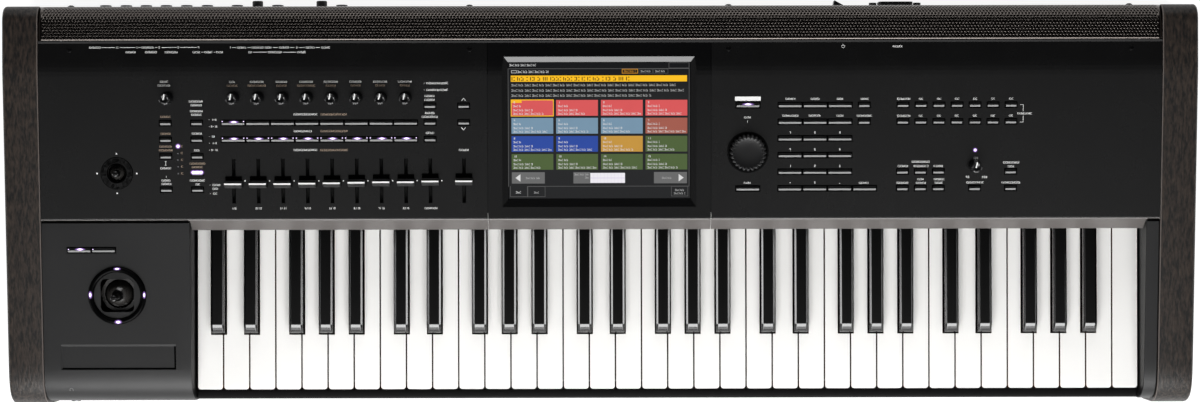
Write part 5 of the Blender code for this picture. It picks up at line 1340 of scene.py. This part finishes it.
# Thin black bars on both sides of each slot, which widen its dark: painted shade.
slots = boxes(*(((x + near, SLOT[0] - 0.0003, -0.0002), (x + near + 0.0006, SLOT[1] + 0.0003, 0.00012))
                for _, x in slider_places for near in (-0.0016, 0.0010)))
piece("slider_slot_shade", slots, hollow_black_and_shade, place=deck_place)
cap_side = [(-0.0033, 0.0012), (0.0033, 0.0012), (0.0033, 0.0030), (0.0026, 0.0062), (0.0014, 0.0088),
            (-0.0006, 0.0090), (-0.0014, 0.0086), (-0.0026, 0.0050), (-0.0033, 0.0030)]
for (name, x), v in zip(slider_places, SLIDER_REST_V):
    place = deck_place @ at(x, v)
    bm = bmesh.new()
    swept(bm, [(-0.0077, dv, w) for dv, w in cap_side], (0.0154, 0, 0))
    block(bm, (-0.0008, -0.0018, -0.0050), (0.0008, 0.0018, 0.0020))
    piece(name + "_cap", new_mesh(bm), slider_black, name, "slider_cap", name, place, 0.0004, smooth=20)
    crest_line = boxes(((-0.0075, 0.0001, 0.0085), (0.0075, 0.0015, 0.00912)))
    piece(name + "_line", crest_line, ink_white, name, place=place, bevel=0.0001)
    # Thin grey bars along the cap's front and rear: painted highlights on its edges.
    edges = boxes(((-0.0070, -0.0029, 0.0040), (0.0070, -0.0023, 0.0055)),
                  ((-0.0070, 0.0028, 0.0040), (0.0070, 0.0031, 0.0055)))
    piece(name + "_edge_highlights", edges, slider_edge_highlight, name, place=place)
    # A low black plate behind the cap: painted shadow, which rides with the cap.
    cap_shadow = boxes(((-0.0075, 0.0031, 0.0004), (0.0072, 0.0070, 0.0010)))
    piece(name + "_shadow", cap_shadow, hollow_black_and_shade, name, place=place, bevel=0.0002)

# Display
# A colour touch screen behind glass. It shows a plain layout: a bar, lines, a field of coloured tiles
# and buttons below.

glass = finish("display glass", (0.005, 0.0055, 0.0065), 0.10, grain=100.0, depth=0.0, unevenness=0.02)
dress("touch_screen", glass)
SCREEN_W = -0.0032


def lit(name, colour, strength=1.0):
    """A picture element that shines in its own colour behind the glass."""
    material = finish(name, (0, 0, 0), 0.25, depth=0.0)
    tree = material.node_tree
    shader = tree.nodes["Principled BSDF"]
    place = tree.nodes.new("ShaderNodeTexCoord").outputs["Object"]
    evenness = sum_of(tree, "MULTIPLY_ADD", noise(tree, place, 60.0), 0.10, 0.95)
    tree.links.new(shaded(tree, (*colour, 1), evenness), shader.inputs["Emission Color"])
    shader.inputs["Emission Strength"].default_value = strength
    return material


def screen_tiles(name, material, areas, height=0.0002):
    """Flat picture elements on the glass: left, front, right and rear in millimetres."""
    flat = boxes(*(((left / 1000, front / 1000, 0), (right / 1000, rear / 1000, height))
                   for left, front, right, rear in areas))
    return piece(name, flat, material, place=deck_place @ at(0, 0, SCREEN_W))


TILE_X = (-78.3, -38.9, 0.6, 39.9)
TILE_TOP_V = (105.7, 89.9, 73.9, 58.0)
TILE = (36.8, 13.9)
tile_colours = {"red": (0.68, 0.092, 0.095), "steel": (0.175, 0.285, 0.39), "brick": (0.35, 0.10, 0.070),
                "blue": (0.020, 0.062, 0.335), "amber": (0.54, 0.285, 0.044), "green": (0.070, 0.112, 0.035)}
tile_plan = (("red",) * 4, ("steel", "steel", "steel", "brick"), ("blue", "blue", "amber", "green"),
             ("green",) * 4)
tile_boxes = {colour: [] for colour in tile_colours}
text = "oIiio Iioi oiIio "
pale_boxes, dim_boxes = [], []
numbers = bmesh.new()
for row, names in enumerate(tile_plan):
    for column, colour in enumerate(names):
        left, top = TILE_X[column], TILE_TOP_V[row]
        tile_boxes[colour].append((left, top - TILE[1], left + TILE[0], top))
        number = 4 * row + column
        digits(numbers, str(number), left + (2.6 if number < 10 else 3.2), top - 2.1, 1.7, 1.0, 0.3)
        last = (27, 31, 34, 24)[(row + 3 * column) % 4]
        for drop, width in ((6.2, 7 + (row * 5 + column * 3) % 5), (9.8, 17.5), (12.9, last)):
            pale_boxes += strokes(left + 1.6, left + 1.6 + width, top - drop, 1.7, 0.42, text)
for colour, value in tile_colours.items():
    screen_tiles("screen_tiles_" + colour, lit("screen " + colour, value), tile_boxes[colour])
left, top = TILE_X[0], TILE_TOP_V[0]
screen_tiles("screen_bar", lit("screen yellow", (0.96, 0.52, 0.010)),
             [(-78.7, 121.9, 76.4, 127.3), (left, top - 2.4, left + 9.1, top)]
             + outlined(left - 0.5, top - TILE[1] - 0.5, left + TILE[0] + 0.5, top + 0.5, 0.9))
screen_tiles("screen_bar_lines", lit("screen dark", (0.03, 0.02, 0.0)),
             strokes(-78.0, 26.0, 122.8, 3.3, 0.75, "Io Iioi o IoI oi III Ioioio Iioio oIo Io "), 0.0003)
pale_boxes += strokes(-79.9, -56.5, 135.6, 1.8, 0.42, text) + strokes(-72.9, -45.2, 129.6, 2.0, 0.42, text)
pale_boxes += strokes(-74.7, -69.2, 23.2, 1.8, 0.42, text) + outlined(-78.3, 129.5, -73.6, 131.8, 0.3)
screen_white = lit("screen white", (0.70, 0.70, 0.70))
screen_tiles("screen_lines", screen_white, pale_boxes, 0.0003)
for start, end, v in ((-78.2, 66.5, 117.9), (-78.2, 73.7, 113.2), (-78.2, 45.3, 108.7)):
    dim_boxes += strokes(start, end, v, 1.9, 0.50, text)
for start, end, v in ((-65.9, -53.3, 35.9), (54.3, 62.9, 35.9), (-23.0, -10.2, 39.1), (-13.5, -10.2, 36.3),
                      (-58.7, -53.4, 23.1), (65.8, 74.9, 25.1), (64.9, 74.9, 22.2), (35.6, 44.5, 130.1),
                      (48.4, 58.0, 130.1)):
    dim_boxes += strokes(start, end, v, 1.6, 0.40, text)
screen_tiles("screen_dim_lines", lit("screen pale grey", (0.42, 0.42, 0.42)), dim_boxes, 0.0003)
screen_tiles("screen_buttons", lit("screen grey", (0.135, 0.135, 0.135)),
             [(-78.2, 31.9, -49.1, 41.9), (47.3, 31.9, 76.4, 41.9), (-23.8, 31.9, -9.0, 41.9)])
screen_tiles("screen_field", lit("screen pale field", (0.84, 0.82, 0.87)), [(-8.9, 32.3, 21.7, 41.2)])
field_rules = [(-8.9, 36.5, 21.7, 36.9)]
field_rules += [(-8.9 + 3.06 * step, 32.3, -8.8 + 3.06 * step, 41.2) for step in range(1, 10)]
screen_tiles("screen_field_rules", lit("screen violet rule", (0.60, 0.52, 0.74)), field_rules, 0.0003)
arrows = bmesh.new()
for x, way in ((-72.8, -1), (71.3, 1)):
    corners = [(x + way * 2.2, 36.9), (x - way * 2.2, 40.2), (x - way * 2.2, 33.6)]
    slab(arrows, [(a / 1000, b / 1000) for a, b in corners], 0.0002, 0.0004)
arrows.from_mesh(new_mesh(numbers))
for vert in arrows.verts:
    vert.co.z += 0.0001
piece("screen_arrows", new_mesh(arrows), screen_white, place=deck_place @ at(0, 0, SCREEN_W + 0.0001))
frame_boxes = outlined(-81.3, 29.2, 78.5, 133.5, 0.45)[1:] + [(-64.3, 29.2, 78.5, 29.65)]
tab = outlined(-79.7, 20.0, -64.3, 29.6, 0.45)
frame_boxes += tab[:1] + tab[2:]
frame_boxes += outlined(-64.3, 20.0, -48.7, 29.4, 0.4) + outlined(62.5, 20.4, 77.4, 29.4, 0.4)
frame_boxes += outlined(60.3, 133.5, 78.4, 138.6, 0.4) + outlined(33.9, 129.0, 46.2, 133.0, 0.3)
frame_boxes += outlined(46.6, 129.0, 59.8, 133.0, 0.3)
screen_tiles("screen_frame", lit("screen frame", (0.088, 0.088, 0.088)), frame_boxes)
screen_tiles("screen_orange_tab", lit("screen orange", (0.62, 0.26, 0.01)),
             outlined(19.1, 129.0, 33.2, 133.0, 0.5) + strokes(20.8, 31.4, 130.1, 1.8, 0.42, text))

# Floor, light, camera
# A pale floor, soft studio lamps and a camera straight above.

floor_mesh = boxes(((-6, -6, -0.02), (6, 6, 0.0)))
floor_object = bpy.data.objects.new("floor", floor_mesh)
bpy.context.collection.objects.link(floor_object)
floor_material, tree, shader = new_material("pale floor")
shader.inputs["Base Color"].default_value = (0.30, 0.30, 0.30, 1)
shader.inputs["Roughness"].default_value = 0.9
shader.inputs["Emission Color"].default_value = (1, 1, 1, 1)
path = tree.nodes.new("ShaderNodeLightPath")
seen = sum_of(tree, "MAXIMUM", path.outputs["Is Camera Ray"],
              sum_of(tree, "MAXIMUM", path.outputs["Is Glossy Ray"], path.outputs["Is Transmission Ray"]))
tree.links.new(sum_of(tree, "MULTIPLY", seen, 0.86), shader.inputs["Emission Strength"])
floor_mesh.materials.append(floor_material)

world = bpy.data.worlds.new("studio")
bpy.context.scene.world = world
world.use_nodes = True
tree = world.node_tree
direction = tree.nodes.new("ShaderNodeSeparateXYZ")
tree.links.new(tree.nodes.new("ShaderNodeTexCoord").outputs["Generated"], direction.inputs[0])
height = tree.nodes.new("ShaderNodeMapRange")
height.interpolation_type = "SMOOTHSTEP"
for label, value in (("From Min", 0.15), ("From Max", 0.75), ("To Min", 0.30), ("To Max", 0.02)):
    height.inputs[label].default_value = value
tree.links.new(direction.outputs["Z"], height.inputs["Value"])
tree.links.new(height.outputs[0], tree.nodes["Background"].inputs["Strength"])
tree.nodes["Background"].inputs["Color"].default_value = (1, 1, 1, 1)


def softbox(name, size, radiance, place, target=(0, 0, 0.1)):
    """A rectangular lamp of even brightness that looks at the object."""
    light = bpy.data.lights.new(name, "AREA")
    light.shape = "RECTANGLE"
    light.size, light.size_y = size
    light.energy = radiance * math.pi * size[0] * size[1]
    lamp = bpy.data.objects.new(name, light)
    bpy.context.collection.objects.link(lamp)
    lamp.location = place
    aim = Vector(target) - Vector(place)
    lamp.rotation_euler = aim.to_track_quat("-Z", "Y").to_euler()


softbox("front softbox", (2.2, 1.5), 9.2, (0, -1.97, 1.64))
softbox("low front softbox", (2.2, 0.6), 2.6, (0, -2.45, 0.55))
softbox("rear softbox", (2.2, 1.1), 2.8, (0, 2.4, 1.25))
softbox("overhead softbox", (3.0, 0.27), 0.46, (0, -0.385, 2.5), (0, -0.385, 0))
for side in (-1, 1):
    softbox("side softbox", (1.0, 0.45), 7.5, (side * 2.4, -0.65, 0.60))
    softbox("overhead side softbox", (1.3, 1.1), 0.44, (side * 0.90, -1.07, 2.5), (side * 0.90, -1.07, 0))

CAMERA_HEIGHT, CAMERA_LENS = 2.592, 84.4
camera = bpy.data.objects.new("camera", bpy.data.cameras.new("camera"))
bpy.context.collection.objects.link(camera)
camera.data.lens = CAMERA_LENS
camera.data.sensor_width = 36.0
camera.location = (-0.0004, 0.0005, CAMERA_HEIGHT)
camera.rotation_euler = (0, 0, -0.0021)
bpy.context.scene.camera = camera
bpy.context.scene.view_settings.view_transform = "Standard"
